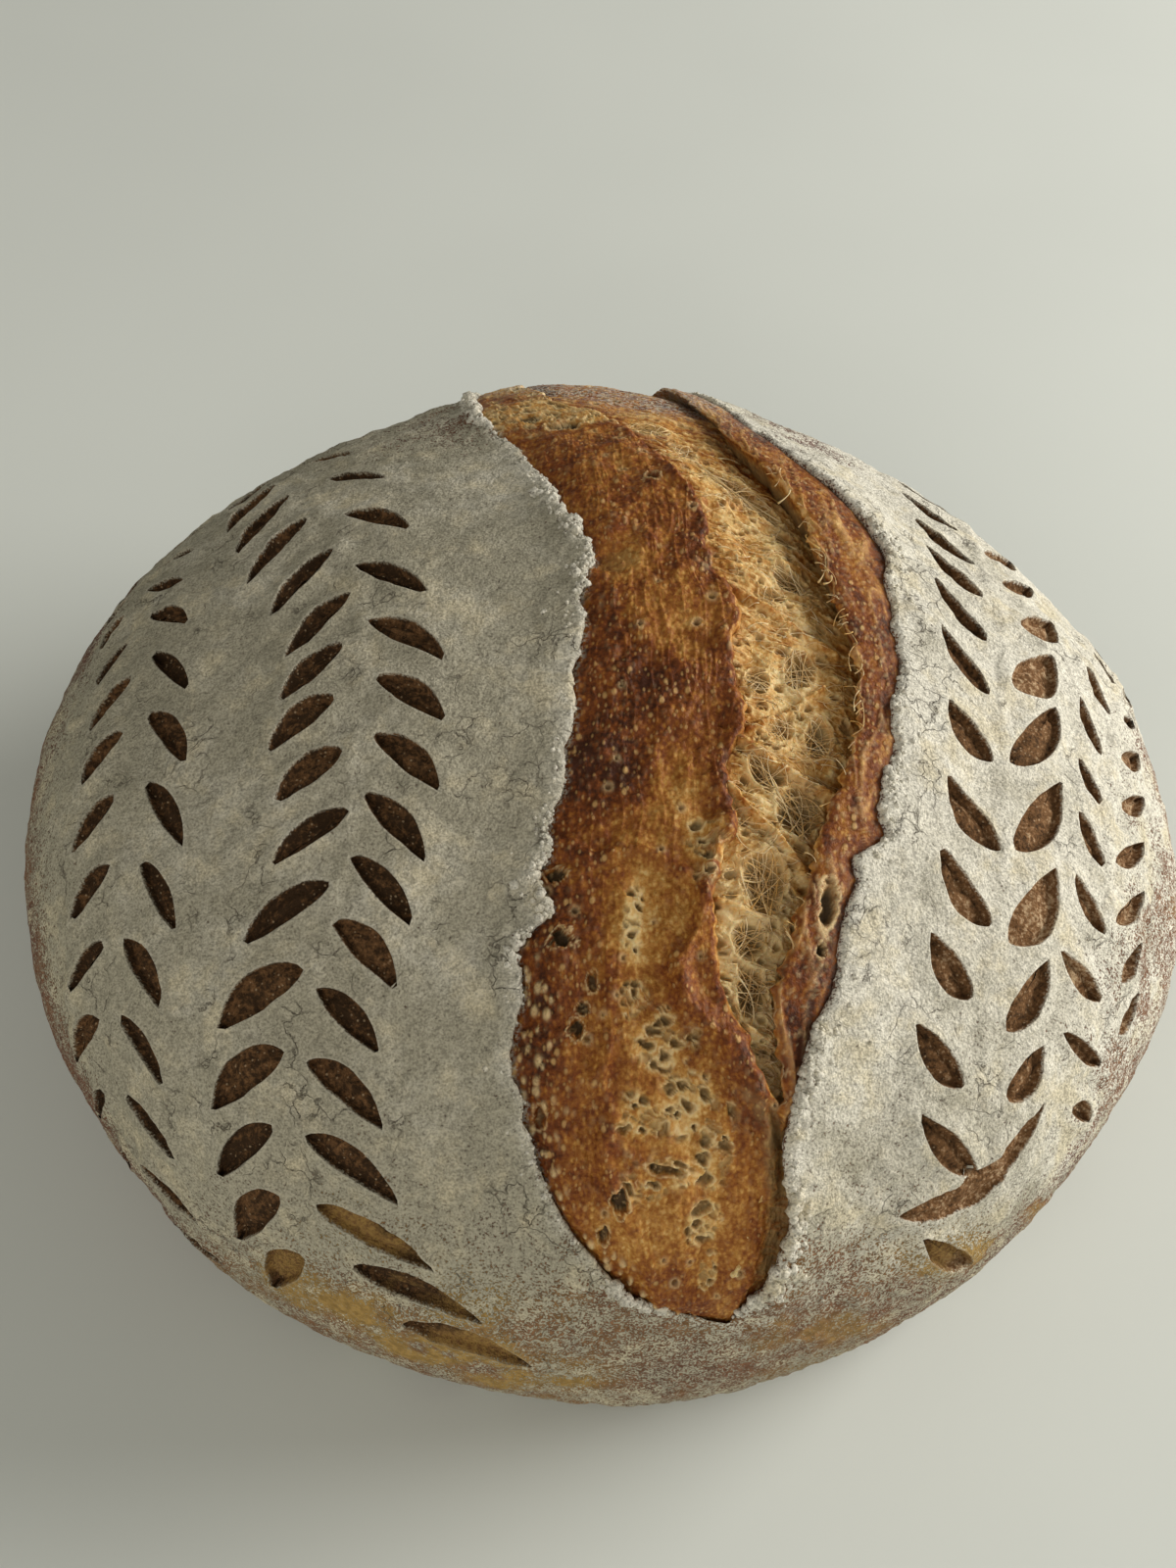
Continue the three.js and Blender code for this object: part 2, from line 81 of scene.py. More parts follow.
# Rows of leaf cuts. inner is the line of the leaves' inner ends from the back round to the front; gap,
# length, turn and width run along it from end to end.
LEAF_ROWS = [
    {
        "inner": [(-88, 96), (-79, 70), (-70, 50), (-57, 28), (-45, 6), (-45, -20), (-41, -43), (-49, -72),
                  (-56, -97), (-55, -117)],
        "count": 19,
        "gap": [12, 12, 12, 14, 11, 11, 14, 12, 12],
        "length": [14, 18, 21, 19, 16, 14, 19, 18, 19],
        "turn": [-95, -100, -103, -120, -131, -142, -154, -153, -147],
        "width": [5, 5.5, 7.5],
    },
    {
        "inner": [(-79, 98), (-72, 74), (-64, 54), (-54, 37), (-47, 17), (-40, -7), (-38, -28), (-41, -52),
                  (-46, -72), (-49, -92), (-49, -108), (-36, -131)],
        "count": 19,
        "gap": [13, 14, 17, 17, 13, 11, 11, 11, 12, 12, 16],
        "length": [12, 10, 11, 16, 18, 16, 17, 17, 16, 20, 28, 30],
        "turn": [0, -5, -10, -30, -34, -40, -51, -50, -46, -36, -24, -22],
        "width": [4.5, 4.5, 5, 5, 6.5],
    },
    {
        "inner": [(-98, 54), (-94, 36), (-90, 21), (-83, 3), (-80, -18), (-79, -42), (-85, -60), (-91, -82),
                  (-108, -112)],
        "count": 14,
        "gap": [12, 11, 12, 15, 15, 13, 16, 19],
        "length": [11, 12, 10, 16, 17, 16, 17, 18, 25],
        "turn": [5, -5, -22, -50, -57, -63, -59, -55, -26],
        "width": [4, 4.5, 5, 5.5],
    },
    {
        "inner": [(-104, 50), (-100, 32), (-94, 16), (-86, -4), (-85, -30), (-87, -50), (-94, -70),
                  (-107, -94)],
        "count": 13,
        "gap": [12, 11, 12, 13, 13, 14, 15],
        "length": [8, 8, 9, 13, 13, 14, 16, 20, 12],
        "turn": [-105, -112, -120, -130, -139, -148, -158, -168, -160],
        "width": [4, 4.5, 5, 5],
    },
    {
        "inner": [(82, 92), (77, 70), (71, 50), (70, 30), (67, 14), (65, -8), (67, -26), (69, -43),
                  (66, -63), (69, -82), (91, -109)],
        "count": 16,
        "gap": [10.5, 10.5, 10.5, 17, 12.5, 13.5, 13, 17.5, 13, 14.5, 16, 30],
        "length": [12, 14, 17, 16, 15, 15, 13, 17, 13, 15, 24],
        "turn": [160, 160, 152, 135, 125, 126, 137, 137, 136, 150, 168],
        "width": [4.5, 5.5, 6.5, 6.5, 6],
    },
    {
        "inner": [(84, 76), (79, 58), (75, 41), (75, 17), (69, -6), (71, -36), (73, -62), (77, -77)],
        "count": 12,
        "gap": [12, 12, 12, 13, 18, 17, 18, 15, 10],
        "length": [12, 12, 13, 11, 16, 20, 20, 18, 13],
        "turn": [50, 48, 42, 37, 46, 58, 64, 66, 62],
        "width": [5, 5.5, 6, 8, 7.5, 7.5],
    },
    {
        "inner": [(112, 40), (104, 26), (97, 12), (91, -4), (90, -20), (94, -42), (96, -54), (106, -73)],
        "count": 11,
        "gap": [12, 13, 15, 12, 13, 13, 12, 12],
        "length": [9, 10, 10, 13, 10, 12, 13, 15, 11],
        "turn": [100, 105, 112, 110, 124, 130, 150, 172, 184],
        "width": [3.5, 4, 4.5, 4],
    },
    {
        "inner": [(103, 20), (97, 2), (94, -26), (97, -42), (104, -56)],
        "count": 8,
        "gap": [13, 13, 13, 12, 10],
        "length": [9, 11, 13, 14, 11],
        "turn": [38, 40, 42, 52, 70],
        "width": [3.5, 4, 4],
    },
]
LEAF_DEPTH = 1.9
LEAF_CROWN = 0.5
# A leaf widens from its inner end as share^LEAF_START and narrows to its tip as (1 - share)^LEAF_TIP.
LEAF_START = 0.7
LEAF_TIP = 0.95
LEAF_BOW = 0.035
LEAF_BULGE = 0.22
# How ragged the outlines are, as a share of the width: leaves, and tears, which are longer.
LEAF_WORN = 0.035
TEAR_WORN = 0.13
LONGEST_LEAF = 30.0

# A shallow tear of the skin low on the right: from, to, width, bow as a share of its length and depth.
TEARS = [((60, -101), (87, -74), 6.4, -0.14, 1.1)]

# Each cut is a bowl: how far in from its outline, and how deep there as a share of the cut's depth.
CUT_WALL = [
    (-0.55, 0.03), (-0.28, -0.02), (-0.08, -0.01), (0.02, 0.06), (0.12, 0.4), (0.28, 0.8), (0.5, 0.97),
]
CUT_FLOOR = [0.3, 0.65, 1.0]
CUT_STEPS = 28
OUTLINE_STEPS = 48

# How finely each sheet is divided: rows along the opening, columns across it.
SKIN_ROWS = 340
SKIN_COLUMNS = 150
CRUST_ROWS = 820
CRUST_COLUMNS = 180
CRUMB_ROWS = 820
CRUMB_COLUMNS = 106
EAR_ROWS = 620
EAR_COLUMNS = 60
BASE_RINGS = 14
EDGE_STEPS = 500
LINE_STEPS = 1500
# Points further from the middle along a than this are far from the torn edges.
EDGE_ZONE = 90
POINTS_AT_ONCE = 8000
# The crust's rows lie closer together towards the front.
CRUST_ROW_POWER = 1.2
# The shares of the opening's length that the crumb and the ear run along.
CRUMB_REACH = (0.12, 0.985)
EAR_REACH = (0.1, 0.99)
# How far the crust runs on under the left and right lips, and the crumb under the ridge and the ear.
CRUST_UNDER = (1.9, 2.2)
CRUMB_UNDER = (2.2, 3.6)

# Camera: 45 mm on a 36 mm sensor, looking down on the front of the loaf.
FRAME_PIXELS = (1200, 1600)
LENS = 45.0
SENSOR = 36.0
VIEW_ELEVATION = 52.0
VIEW_ROLL = 3.64
VIEW_DISTANCE = 381.2
TARGET = (0.0, 0.0, 45.0)
TARGET_PIXEL = (617.3, 855.3)
NEAREST_SEEN = 0.01


def smoothstep(low, high, value):
    share = np.clip((value - low) / (high - low), 0, 1)
    return share * share * (3 - 2 * share)


def mix(low, high, share):
    return low + (high - low) * share


def hump(value, middle, spread):
    """1 at the middle, and less the further the value is from it."""
    return np.exp(-(((value - middle) / spread) ** 2))


def spot(a, b, at_a, at_b, spread_a, spread_b):
    """The same over the sheet."""
    return np.exp(-(((a - at_a) / spread_a) ** 2) - ((b - at_b) / spread_b) ** 2)


def along(knots, share):
    """The value at share (0 to 1) of the way through evenly spaced knots."""
    return np.interp(share, np.linspace(0, 1, len(knots)), knots)


def along_curve(knots, share):
    """The same, as one smooth curve through the knots."""
    knots = np.asarray(knots, float)
    place = np.clip(share, 0, 1) * (len(knots) - 1)
    before = np.minimum(np.floor(place).astype(int), len(knots) - 2)
    p0, p1, p2, p3 = (knots[np.clip(before + step, 0, len(knots) - 1)] for step in (-1, 0, 1, 2))
    f = place - before
    if knots.ndim > 1:
        f = f[..., None]
    cubic = 2 * p1 + (p2 - p0) * f + (2 * p0 - 5 * p1 + 4 * p2 - p3) * f**2
    return (cubic + (3 * p1 - p0 - 3 * p2 + p3) * f**3) / 2


# Noise over the sheet, always the same for the same place and seed.
def lattice(column, row, seed):
    mixed = (column * 374761393 + row * 668265263 + seed * 1442695041) & 0xFFFFFFFF
    mixed = ((mixed ^ (mixed >> 13)) * 1274126177) & 0xFFFFFFFF
    return ((mixed ^ (mixed >> 16)) & 0xFFFFFF) / 0xFFFFFF


def both_ways(size):
    """A size, one number or (along a, along b), as two numbers."""
    return size if isinstance(size, tuple) else (size, size)


def in_steps(a, b, size):
    """a and b in steps of the size, and the column and row of the lattice there."""
    size_a, size_b = both_ways(size)
    x = np.asarray(a, float) / size_a
    y = np.asarray(b, float) / size_b
    return x, y, np.floor(x).astype(np.int64), np.floor(y).astype(np.int64)


def noise(a, b, size, seed):
    """Smooth noise from -1 to 1. size is how far apart its swells lie, one number or (along a, along b)."""
    x, y, column, row = in_steps(a, b, size)
    fx = smoothstep(0, 1, x - column)
    fy = smoothstep(0, 1, y - row)
    low = mix(lattice(column, row, seed), lattice(column + 1, row, seed), fx)
    high = mix(lattice(column, row + 1, seed), lattice(column + 1, row + 1, seed), fx)
    return mix(low, high, fy) * 2 - 1


def layers(a, b, size, seed, count=3):
    """Noise with finer and weaker noise on top."""
    size_a, size_b = both_ways(size)
    total = 0
    for layer in range(count):
        scale = 2.03**layer
        total = total + noise(a, b, (size_a / scale, size_b / scale), seed + layer * 17) / 1.9**layer
    return total


def cells(a, b, size, seed):
    """Distance to the nearest and second nearest scattered point, in cell sizes, and a random number
    of the nearest."""
    x, y, column, row = in_steps(a, b, size)
    nearest = np.full(x.shape, FAR)
    second = np.full(x.shape, FAR)
    chosen = np.zeros(x.shape)
    for step_a in (-1, 0, 1):
        for step_b in (-1, 0, 1):
            i = column + step_a
            j = row + step_b
            distance = np.hypot(i + lattice(i, j, seed) - x, j + lattice(i, j, seed + 5) - y)
            closer = distance < nearest
            second = np.where(closer, nearest, np.minimum(second, distance))
            chosen = np.where(closer, lattice(i, j, seed + 9), chosen)
            nearest = np.where(closer, distance, nearest)
    return nearest, second, chosen


# The dome, as in the solid.
def dome_section(steps=400):
    power = 2 / DOME_FULLNESS
    upper = np.linspace(0, math.pi / 2, steps + 1)
    lower = np.linspace(0, math.pi / 2, steps // 2 + 1)[1:]
    top = WIDEST_Z + (HEIGHT - WIDEST_Z) * np.maximum(np.cos(upper), 0) ** power
    radius = np.r_[np.sin(upper) ** power, 1 - (1 - BASE_SHARE) * (1 - np.cos(lower))]
    z = np.r_[top, WIDEST_Z * (1 - np.sin(lower))]
    mean_radius = (WIDTH + DEPTH) / 4
    crust = np.r_[0, np.cumsum(np.hypot(np.diff(radius) * mean_radius, np.diff(z)))]
    return radius, z, crust


SECTION_RADIUS, SECTION_Z, SECTION_CRUST = dome_section()
RIM = SECTION_CRUST[-1]


def plan_radius(angle):
    ellipse = 1 / np.hypot(np.cos(angle) / (WIDTH / 2), np.sin(angle) / (DEPTH / 2))
    share = 1
    for waves, cosine, sine in PLAN_WAVES:
        share = share + cosine * np.cos(waves * angle) + sine * np.sin(waves * angle)
    return ellipse * share


def dome(a, b):
    crust = np.hypot(a, b)
    angle = np.arctan2(b, a)
    z = np.interp(crust, SECTION_CRUST, SECTION_Z)
    reach = plan_radius(angle) * np.interp(crust, SECTION_CRUST, SECTION_RADIUS)
    lean = z / HEIGHT
    x = reach * np.cos(angle) + TOP_SHIFT[0] * lean
    y = reach * np.sin(angle) + TOP_SHIFT[1] * lean
    return np.stack([x, y, z], axis=-1)


def dome_normal(a, b, step=0.5):
    across_a = dome(a + step, b) - dome(a - step, b)
    across_b = dome(a, b + step) - dome(a, b - step)
    normal = np.cross(across_a, across_b)
    return normal / np.linalg.norm(normal, axis=-1, keepdims=True)


def unevenness(a, b):
    total = 0
    for height, over_a, over_b, phase in SWELLS:
        total = total + height * np.sin(a / over_a + b / over_b + phase)
    return total * smoothstep(0, SWELL_FADE, RIM - np.hypot(a, b))


def crust_points(a, b, height):
    """Points over the dome. Near the rim the height dies out, so that the rim stays on the ground."""
    near_rim = smoothstep(0, 4, RIM - np.hypot(a, b))
    points = dome(a, b) + dome_normal(a, b) * ((height + unevenness(a, b)) * near_rim)[..., None]
    points[..., 2] = np.maximum(points[..., 2], 0)
    return points


def rib(share):
    """b and the four lines of the opening at a share of its length."""
    return along_curve(OPENING_RIBS, share).T


def openness(share):
    """0 at the two tips of the opening, 1 between them."""
    return smoothstep(0, TIP_FADE, np.minimum(share, 1 - share))


def lift(share, b):
    """How far the opening's forms stand up: fully along most of it, less at its tips and at the back."""
    return openness(share) * (1 - 0.65 * smoothstep(32, 72, b))


# Places where the torn edges jump: b, spread along b, shift along a.
LEFT_JOGS = [
    (-49, 2.5, 1.4), (-54, 1.6, -1.2), (-60, 3.0, 3.4), (-67, 3.0, -2.0), (-84, 4.0, -1.2),
    (-113, 4.0, 1.0), (12, 6.0, 1.2), (47, 4.0, 2.0),
]
RIGHT_JOGS = [(-40, 3.0, 2.0), (-46, 3.0, -1.6), (-6, 5.0, 0.8), (-68, 5.0, 1.0), (20, 7.0, 0.8)]


def torn_line(share, column, waves, jogs=()):
    """a and b of one of the ribs' lines, torn by waves of (height, size, seed) and by jogs."""
    ribs = rib(share)
    b = ribs[0]
    torn = sum(height * noise(b, 0 * b, size, seed) for height, size, seed in waves)
    torn = torn + sum(shift * hump(b, at, spread) for at, spread, shift in jogs)
    return ribs[column] + torn * openness(share), b


def left_edge(share):
    return torn_line(share, 1, [(0.9, 9, 11), (0.55, 3.1, 12), (0.3, 1.1, 13)], LEFT_JOGS)


def ridge_line(share):
    return torn_line(share, 2, [(1.3, 11, 31), (0.9, 4.0, 32), (0.45, 1.3, 33)])


def ear_line(share):
    return torn_line(share, 3, [(0.8, 9, 41), (0.6, 3.0, 42), (0.4, 1.0, 43)])


def right_edge(share):
    return torn_line(share, 4, [(0.7, 8, 21), (0.4, 2.7, 22), (0.2, 1.0, 23)], RIGHT_JOGS)


# The leaf cuts.
def leaf_list():
    """Every cut: start a and b, length, turn in radians, width, bow, depth and a random number."""
    made = []
    for number, row in enumerate(LEAF_ROWS):
        line = along_curve(row["inner"], np.linspace(0, 1, 201))
        lengths = np.r_[0, np.cumsum(np.hypot(*np.diff(line, axis=0).T))]
        places = (np.arange(row["count"] - 1) + 0.5) / (row["count"] - 1)
        marks = np.r_[0, np.cumsum(along(row["gap"], places))]
        marks = marks / marks[-1] * lengths[-1]
        for leaf in range(row["count"]):
            share = leaf / (row["count"] - 1)
            start_a = np.interp(marks[leaf], lengths, line[:, 0])
            start_b = np.interp(marks[leaf], lengths, line[:, 1])
            chance = float(lattice(np.int64(leaf), np.int64(number), 3))
            turn = math.radians(along(row["turn"], share))
            width = along(row["width"], share) * (0.8 + 0.25 * chance)
            # Leaves swell on the side away from where their tips point.
            bow = -math.copysign(LEAF_BOW * (0.6 + 0.8 * chance), math.cos(turn) * math.sin(turn))
            length = along(row["length"], share)
            made.append((start_a, start_b, length, turn, width, bow, LEAF_DEPTH, chance))
    for start, end, width, bow, depth in TEARS:
        run_a, run_b = end[0] - start[0], end[1] - start[1]
        turn = math.atan2(run_b, run_a)
        made.append((start[0], start[1], math.hypot(run_a, run_b), turn, width, bow, depth, 0.6))
    return made


LEAVES = leaf_list()


def leaf_sides(leaf, steps):
    """In the leaf's own frame, from its inner end to its tip: x, the spine, and the two sides."""
    _, _, length, _, width, bow, _, chance = leaf
    share = (1 - np.cos(np.linspace(0, math.pi, steps + 1))) / 2
    spine = bow * length * 4 * share * (1 - share)
    widest = LEAF_START / (LEAF_START + LEAF_TIP)
    form = share**LEAF_START * (1 - share) ** LEAF_TIP
    half = width / 2 * form / (widest**LEAF_START * (1 - widest) ** LEAF_TIP)
    bulge = math.copysign(LEAF_BULGE, bow)
    x = share * length
    worn = (TEAR_WORN if length > LONGEST_LEAF else LEAF_WORN) * width * np.sin(math.pi * share)
    upper = spine + half * (1 + bulge) + worn * layers(x + 31 * chance, 0 * x, 5, 51)
    lower = spine - half * (1 - bulge) + worn * layers(x + 31 * chance, 0 * x, 5, 52)
    return x, spine, upper, lower


def closed(forth, back):
    """Out along one side and back along the other, with their shared ends only once."""
    return np.r_[forth, back[-2:0:-1]]


def cut_fields(a, b, own=None):
    """How far each point is outside the nearest cut (less than 0 inside it), the nearest point of that
    cut's outline, and the cut's depth and random number. Each point's own cut can be left out."""
    outside = np.full(a.shape, FAR)
    near_a, near_b = a.copy(), b.copy()
    depth = np.zeros(a.shape)
    chance = np.zeros(a.shape)
    for number, leaf in enumerate(LEAVES):
        start_a, start_b, length, turn, _, _, leaf_depth, leaf_chance = leaf
        cosine, sine = math.cos(turn), math.sin(turn)
        reach = length / 2 + 5
        near = np.abs(a - start_a - length / 2 * cosine) < reach
        near &= np.abs(b - start_b - length / 2 * sine) < reach
        if own is not None:
            near &= own != number
        if not near.any():
            continue
        x = (a[near] - start_a) * cosine + (b[near] - start_b) * sine
        y = (b[near] - start_b) * cosine - (a[near] - start_a) * sine
        line_x, _, upper, lower = leaf_sides(leaf, OUTLINE_STEPS)
        corner_x, corner_y = closed(line_x, line_x), closed(upper, lower)
        run_x = np.roll(corner_x, -1) - corner_x
        run_y = np.roll(corner_y, -1) - corner_y
        from_x = x[:, None] - corner_x
        from_y = y[:, None] - corner_y
        share = np.clip((from_x * run_x + from_y * run_y) / (run_x**2 + run_y**2 + 1e-9), 0, 1)
        gap = np.hypot(from_x - share * run_x, from_y - share * run_y)
        best = gap.argmin(axis=1)
        each = np.arange(len(x))
        gap = gap[each, best]
        foot_x = corner_x[best] + share[each, best] * run_x[best]
        foot_y = corner_y[best] + share[each, best] * run_y[best]
        inside = (y < np.interp(x, line_x, upper)) & (y > np.interp(x, line_x, lower))
        inside &= (x > 0) & (x < length)
        gap = np.where(inside, -gap, gap)
        closer = gap < outside[near]
        outside[near] = np.where(closer, gap, outside[near])
        near_a[near] = np.where(closer, start_a + foot_x * cosine - foot_y * sine, near_a[near])
        near_b[near] = np.where(closer, start_b + foot_x * sine + foot_y * cosine, near_b[near])
        depth[near] = np.where(closer, leaf_depth, depth[near])
        chance[near] = np.where(closer, leaf_chance, chance[near])
    return outside, near_a, near_b, depth, chance


def stem_distance(a, b):
    """Distance to the nearest stem, which runs midway between a sprig's two rows of leaves."""
    nearest = np.full(a.shape, FAR)
    shares = np.linspace(0, 1, 90)
    for left, right in zip(LEAF_ROWS[0::2], LEAF_ROWS[1::2]):
        line = (along_curve(left["inner"], shares) + along_curve(right["inner"], shares)) / 2
        for point_a, point_b in line:
            near = (np.abs(a - point_a) < 6) & (np.abs(b - point_b) < 6)
            nearest[near] = np.minimum(nearest[near], np.hypot(a[near] - point_a, b[near] - point_b))
    return nearest


# Meshes.
def grid_faces(rows, columns, flipped=False):
    index = np.arange(rows * columns).reshape(rows, columns)
    corners = [index[:-1, :-1], index[:-1, 1:], index[1:, 1:], index[1:, :-1]]
    if flipped:
        corners.reverse()
    return np.stack([corner.ravel() for corner in corners], axis=1)


def ring_faces(index):
    """Quads between neighbouring rings. index numbers the points by form, ring and place round it."""
    turned = np.roll(index, -1, axis=2)
    quads = np.stack([index[:, :-1], turned[:, :-1], turned[:, 1:], index[:, 1:]], axis=-1)
    return quads.reshape(-1, 4)


def make_piece(name, points, faces, fields, material):
    """One smooth mesh from points in millimetres, with its numbers for the material. Points that no
    face uses are left out."""
    faces = np.asarray(faces)
    used, numbered = np.unique(faces, return_inverse=True)
    points = np.asarray(points).reshape(-1, 3)[used] * MM
    mesh = bpy.data.meshes.new(name)
    mesh.from_pydata(points.tolist(), [], numbered.reshape(faces.shape).tolist())
    for field, values in fields.items():
        layer = mesh.attributes.new(field, "FLOAT", "POINT")
        layer.data.foreach_set("value", np.asarray(values, np.float32).ravel()[used])
    mesh.shade_smooth()
    mesh.materials.append(material)
    piece = bpy.data.objects.new(name, mesh)
    bpy.context.scene.collection.objects.link(piece)
    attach(piece, "root")
    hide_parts("loaf")


# Nodes for materials.
class Nodes:
    """The node tree of one material, with short ways to add to it."""

    def __init__(self, name):
        self.material = bpy.data.materials.new(name)
        self.material.use_nodes = True
        self.tree = self.material.node_tree
        self.tree.nodes.clear()
        self.place = self.add("ShaderNodeTexCoord").outputs["Object"]

    def add(self, kind, inputs=None, **settings):
        node = self.tree.nodes.new(kind)
        for setting, value in settings.items():
            setattr(node, setting, value)
        for socket, value in (inputs or {}).items():
            if isinstance(value, bpy.types.NodeSocket):
                self.tree.links.new(value, node.inputs[socket])
            else:
                node.inputs[socket].default_value = value
        return node

    def field(self, name):
        return self.add("ShaderNodeAttribute", attribute_name=name).outputs["Fac"]

    def maths(self, operation, first, second=0.0, clamp=False):
        inputs = {0: first, 1: second}
        return self.add("ShaderNodeMath", inputs, operation=operation, use_clamp=clamp).outputs[0]

    def times(self, first, second):
        return self.maths("MULTIPLY", first, second)

    def plus(self, value, *textures):
        """value with textures, which run from 0 to 1, each added to it both ways by its weight."""
        for texture, weight in textures:
            centred = self.maths("SUBTRACT", texture, 0.5)
            value = self.maths("ADD", value, self.times(centred, weight))
        return value

    def inverse(self, value):
        return self.maths("SUBTRACT", 1.0, value)

    def between(self, value, low, high, to_low=0.0, to_high=1.0):
        """value from low to high, spread smoothly over to_low to to_high."""
        inputs = {"Value": value, "From Min": low, "From Max": high, "To Min": to_low, "To Max": to_high}
        node = self.add("ShaderNodeMapRange", inputs, interpolation_type="SMOOTHSTEP")
        return node.outputs["Result"]

    def noise(self, size, detail=3.0, roughness=0.55, distortion=0.0):
        """Noise from 0 to 1 whose swells lie about size millimetres apart."""
        inputs = {"Vector": self.place, "Scale": 1 / (size * MM), "Detail": detail,
                  "Roughness": roughness, "Distortion": distortion}
        return self.add("ShaderNodeTexNoise", inputs).outputs["Fac"]

    def scattered(self, size, stretch=None, place=None, feature="F1"):
        """Cells round scattered points about size millimetres apart."""
        place = place or self.place
        if stretch:
            place = self.add("ShaderNodeMapping", {"Vector": place, "Scale": stretch}).outputs["Vector"]
        inputs = {"Vector": place, "Scale": 1 / (size * MM)}
        return self.add("ShaderNodeTexVoronoi", inputs, feature=feature)

    def spots(self, size, stretch=None):
        """Distance from scattered points about size millimetres apart, in cell sizes."""
        return self.scattered(size, stretch).outputs["Distance"]

    def dots(self, size, radius, share, stretch=None):
        """Round dots, 1 in their middles, at a share of the scattered points."""
        cells_here = self.scattered(size, stretch)
        chance = self.add("ShaderNodeSeparateColor", {"Color": cells_here.outputs["Color"]}).outputs["Red"]
        dot = self.between(cells_here.outputs["Distance"], 0.4 * radius, radius, 1, 0)
        return self.times(dot, self.between(chance, 1 - share, 1.02 - share))

    def warped(self, size, shift):
        """The place, pushed about by up to shift millimetres over about size millimetres."""
        inputs = {"Vector": self.place, "Scale": 1 / (size * MM), "Detail": 4.0}
        push = self.add("ShaderNodeTexNoise", inputs).outputs["Color"]
        push = self.add("ShaderNodeVectorMath", {0: push, 1: (shift * MM,) * 3}, operation="MULTIPLY")
        inputs = {0: self.place, 1: push.outputs[0]}
        return self.add("ShaderNodeVectorMath", inputs, operation="ADD").outputs[0]

    def blend(self, share, first, second, kind="MIX"):
        """The first colour where share is 0, the second where it is 1."""
        inputs = {0: share}
        for socket, colour in ((6, first), (7, second)):
            inputs[socket] = colour if isinstance(colour, bpy.types.NodeSocket) else (*colour, 1)
        return self.add("ShaderNodeMix", inputs, data_type="RGBA", blend_type=kind).outputs[2]

    def shade(self, colour, value):
        """The colour, lighter or darker by a factor."""
        inputs = {"Red": value, "Green": value, "Blue": value}
        grey = self.add("ShaderNodeCombineColor", inputs).outputs[0]
        return self.blend(1.0, colour, grey, "MULTIPLY")

    def ramp(self, value, stops):
        """A colour that runs through stops of (place, colour)."""
        node = self.add("ShaderNodeValToRGB", {"Fac": value})
        stops_made = node.color_ramp.elements
        while len(stops_made) < len(stops):
            stops_made.new(1.0)
        for made, (place, colour) in zip(stops_made, stops):
            made.position = place
            made.color = (*colour, 1)
        return node.outputs["Color"]

    def bump(self, height, distance, below=None):
        inputs = {"Height": height, "Distance": distance * MM}
        if below is not None:
            inputs["Normal"] = below
        return self.add("ShaderNodeBump", inputs).outputs["Normal"]

    def finish(self, colour, roughness, normal, specular=0.3, subsurface=0.0):
        inputs = {"Base Color": colour, "Roughness": roughness, "Normal": normal,
                  "Specular IOR Level": specular, "Subsurface Weight": subsurface,
                  "Subsurface Radius": LIGHT_REACH, "Subsurface Scale": 1.0}
        surface = self.add("ShaderNodeBsdfPrincipled", inputs).outputs["BSDF"]
        self.add("ShaderNodeOutputMaterial", {"Surface": surface})
        return self.material


# How far red, green and blue light spreads inside the crumb, in metres.
LIGHT_REACH = (0.003, 0.0015, 0.0006)
# Colours, as linear red, green and blue.
FLOUR_PALE = (0.72, 0.685, 0.585)
# FLOUR_GREY is thin flour, and on the dim left side of the skin also painted shade.
FLOUR_GREY = (0.41, 0.378, 0.285)
FLOUR_WARM = (0.62, 0.545, 0.375)
CRUST_GOLD = (0.40, 0.255, 0.085)
CRUST_BROWN = (0.27, 0.145, 0.08)
CRUST_PURPLE = (0.17, 0.08, 0.066)
CRACK_DARK = (0.09, 0.07, 0.05)
# CUT_DARK and CUT_PALE are the ends of the cut floors' tone, which is painted darker on the left and paler
# on the right.
CUT_DARK = (0.05, 0.028, 0.014)
CUT_BROWN = (0.21, 0.107, 0.046)
CUT_PALE = (0.60, 0.44, 0.27)
CUT_GOLD = (0.38, 0.235, 0.075)
CRUMB_STOPS = [
    (0.0, (0.84, 0.64, 0.32)),
    (0.2, (0.74, 0.48, 0.18)),
    (0.4, (0.53, 0.26, 0.058)),
    (0.58, (0.34, 0.125, 0.020)),
    (0.76, (0.20, 0.052, 0.009)),
    (1.0, (0.06, 0.016, 0.005)),
]
BLISTER_PALE = (0.60, 0.36, 0.135)
RIM_PALE = (0.78, 0.58, 0.30)
MEMBRANE_OLIVE = (0.32, 0.245, 0.118)
PAINTED_HOLE_SHADE = (0.06, 0.036, 0.016)
FIBRE_PALE = (0.86, 0.68, 0.38)
FIBRE_GOLD = (0.70, 0.40, 0.12)
FLOOR_PALE = (0.74, 0.77, 0.73)


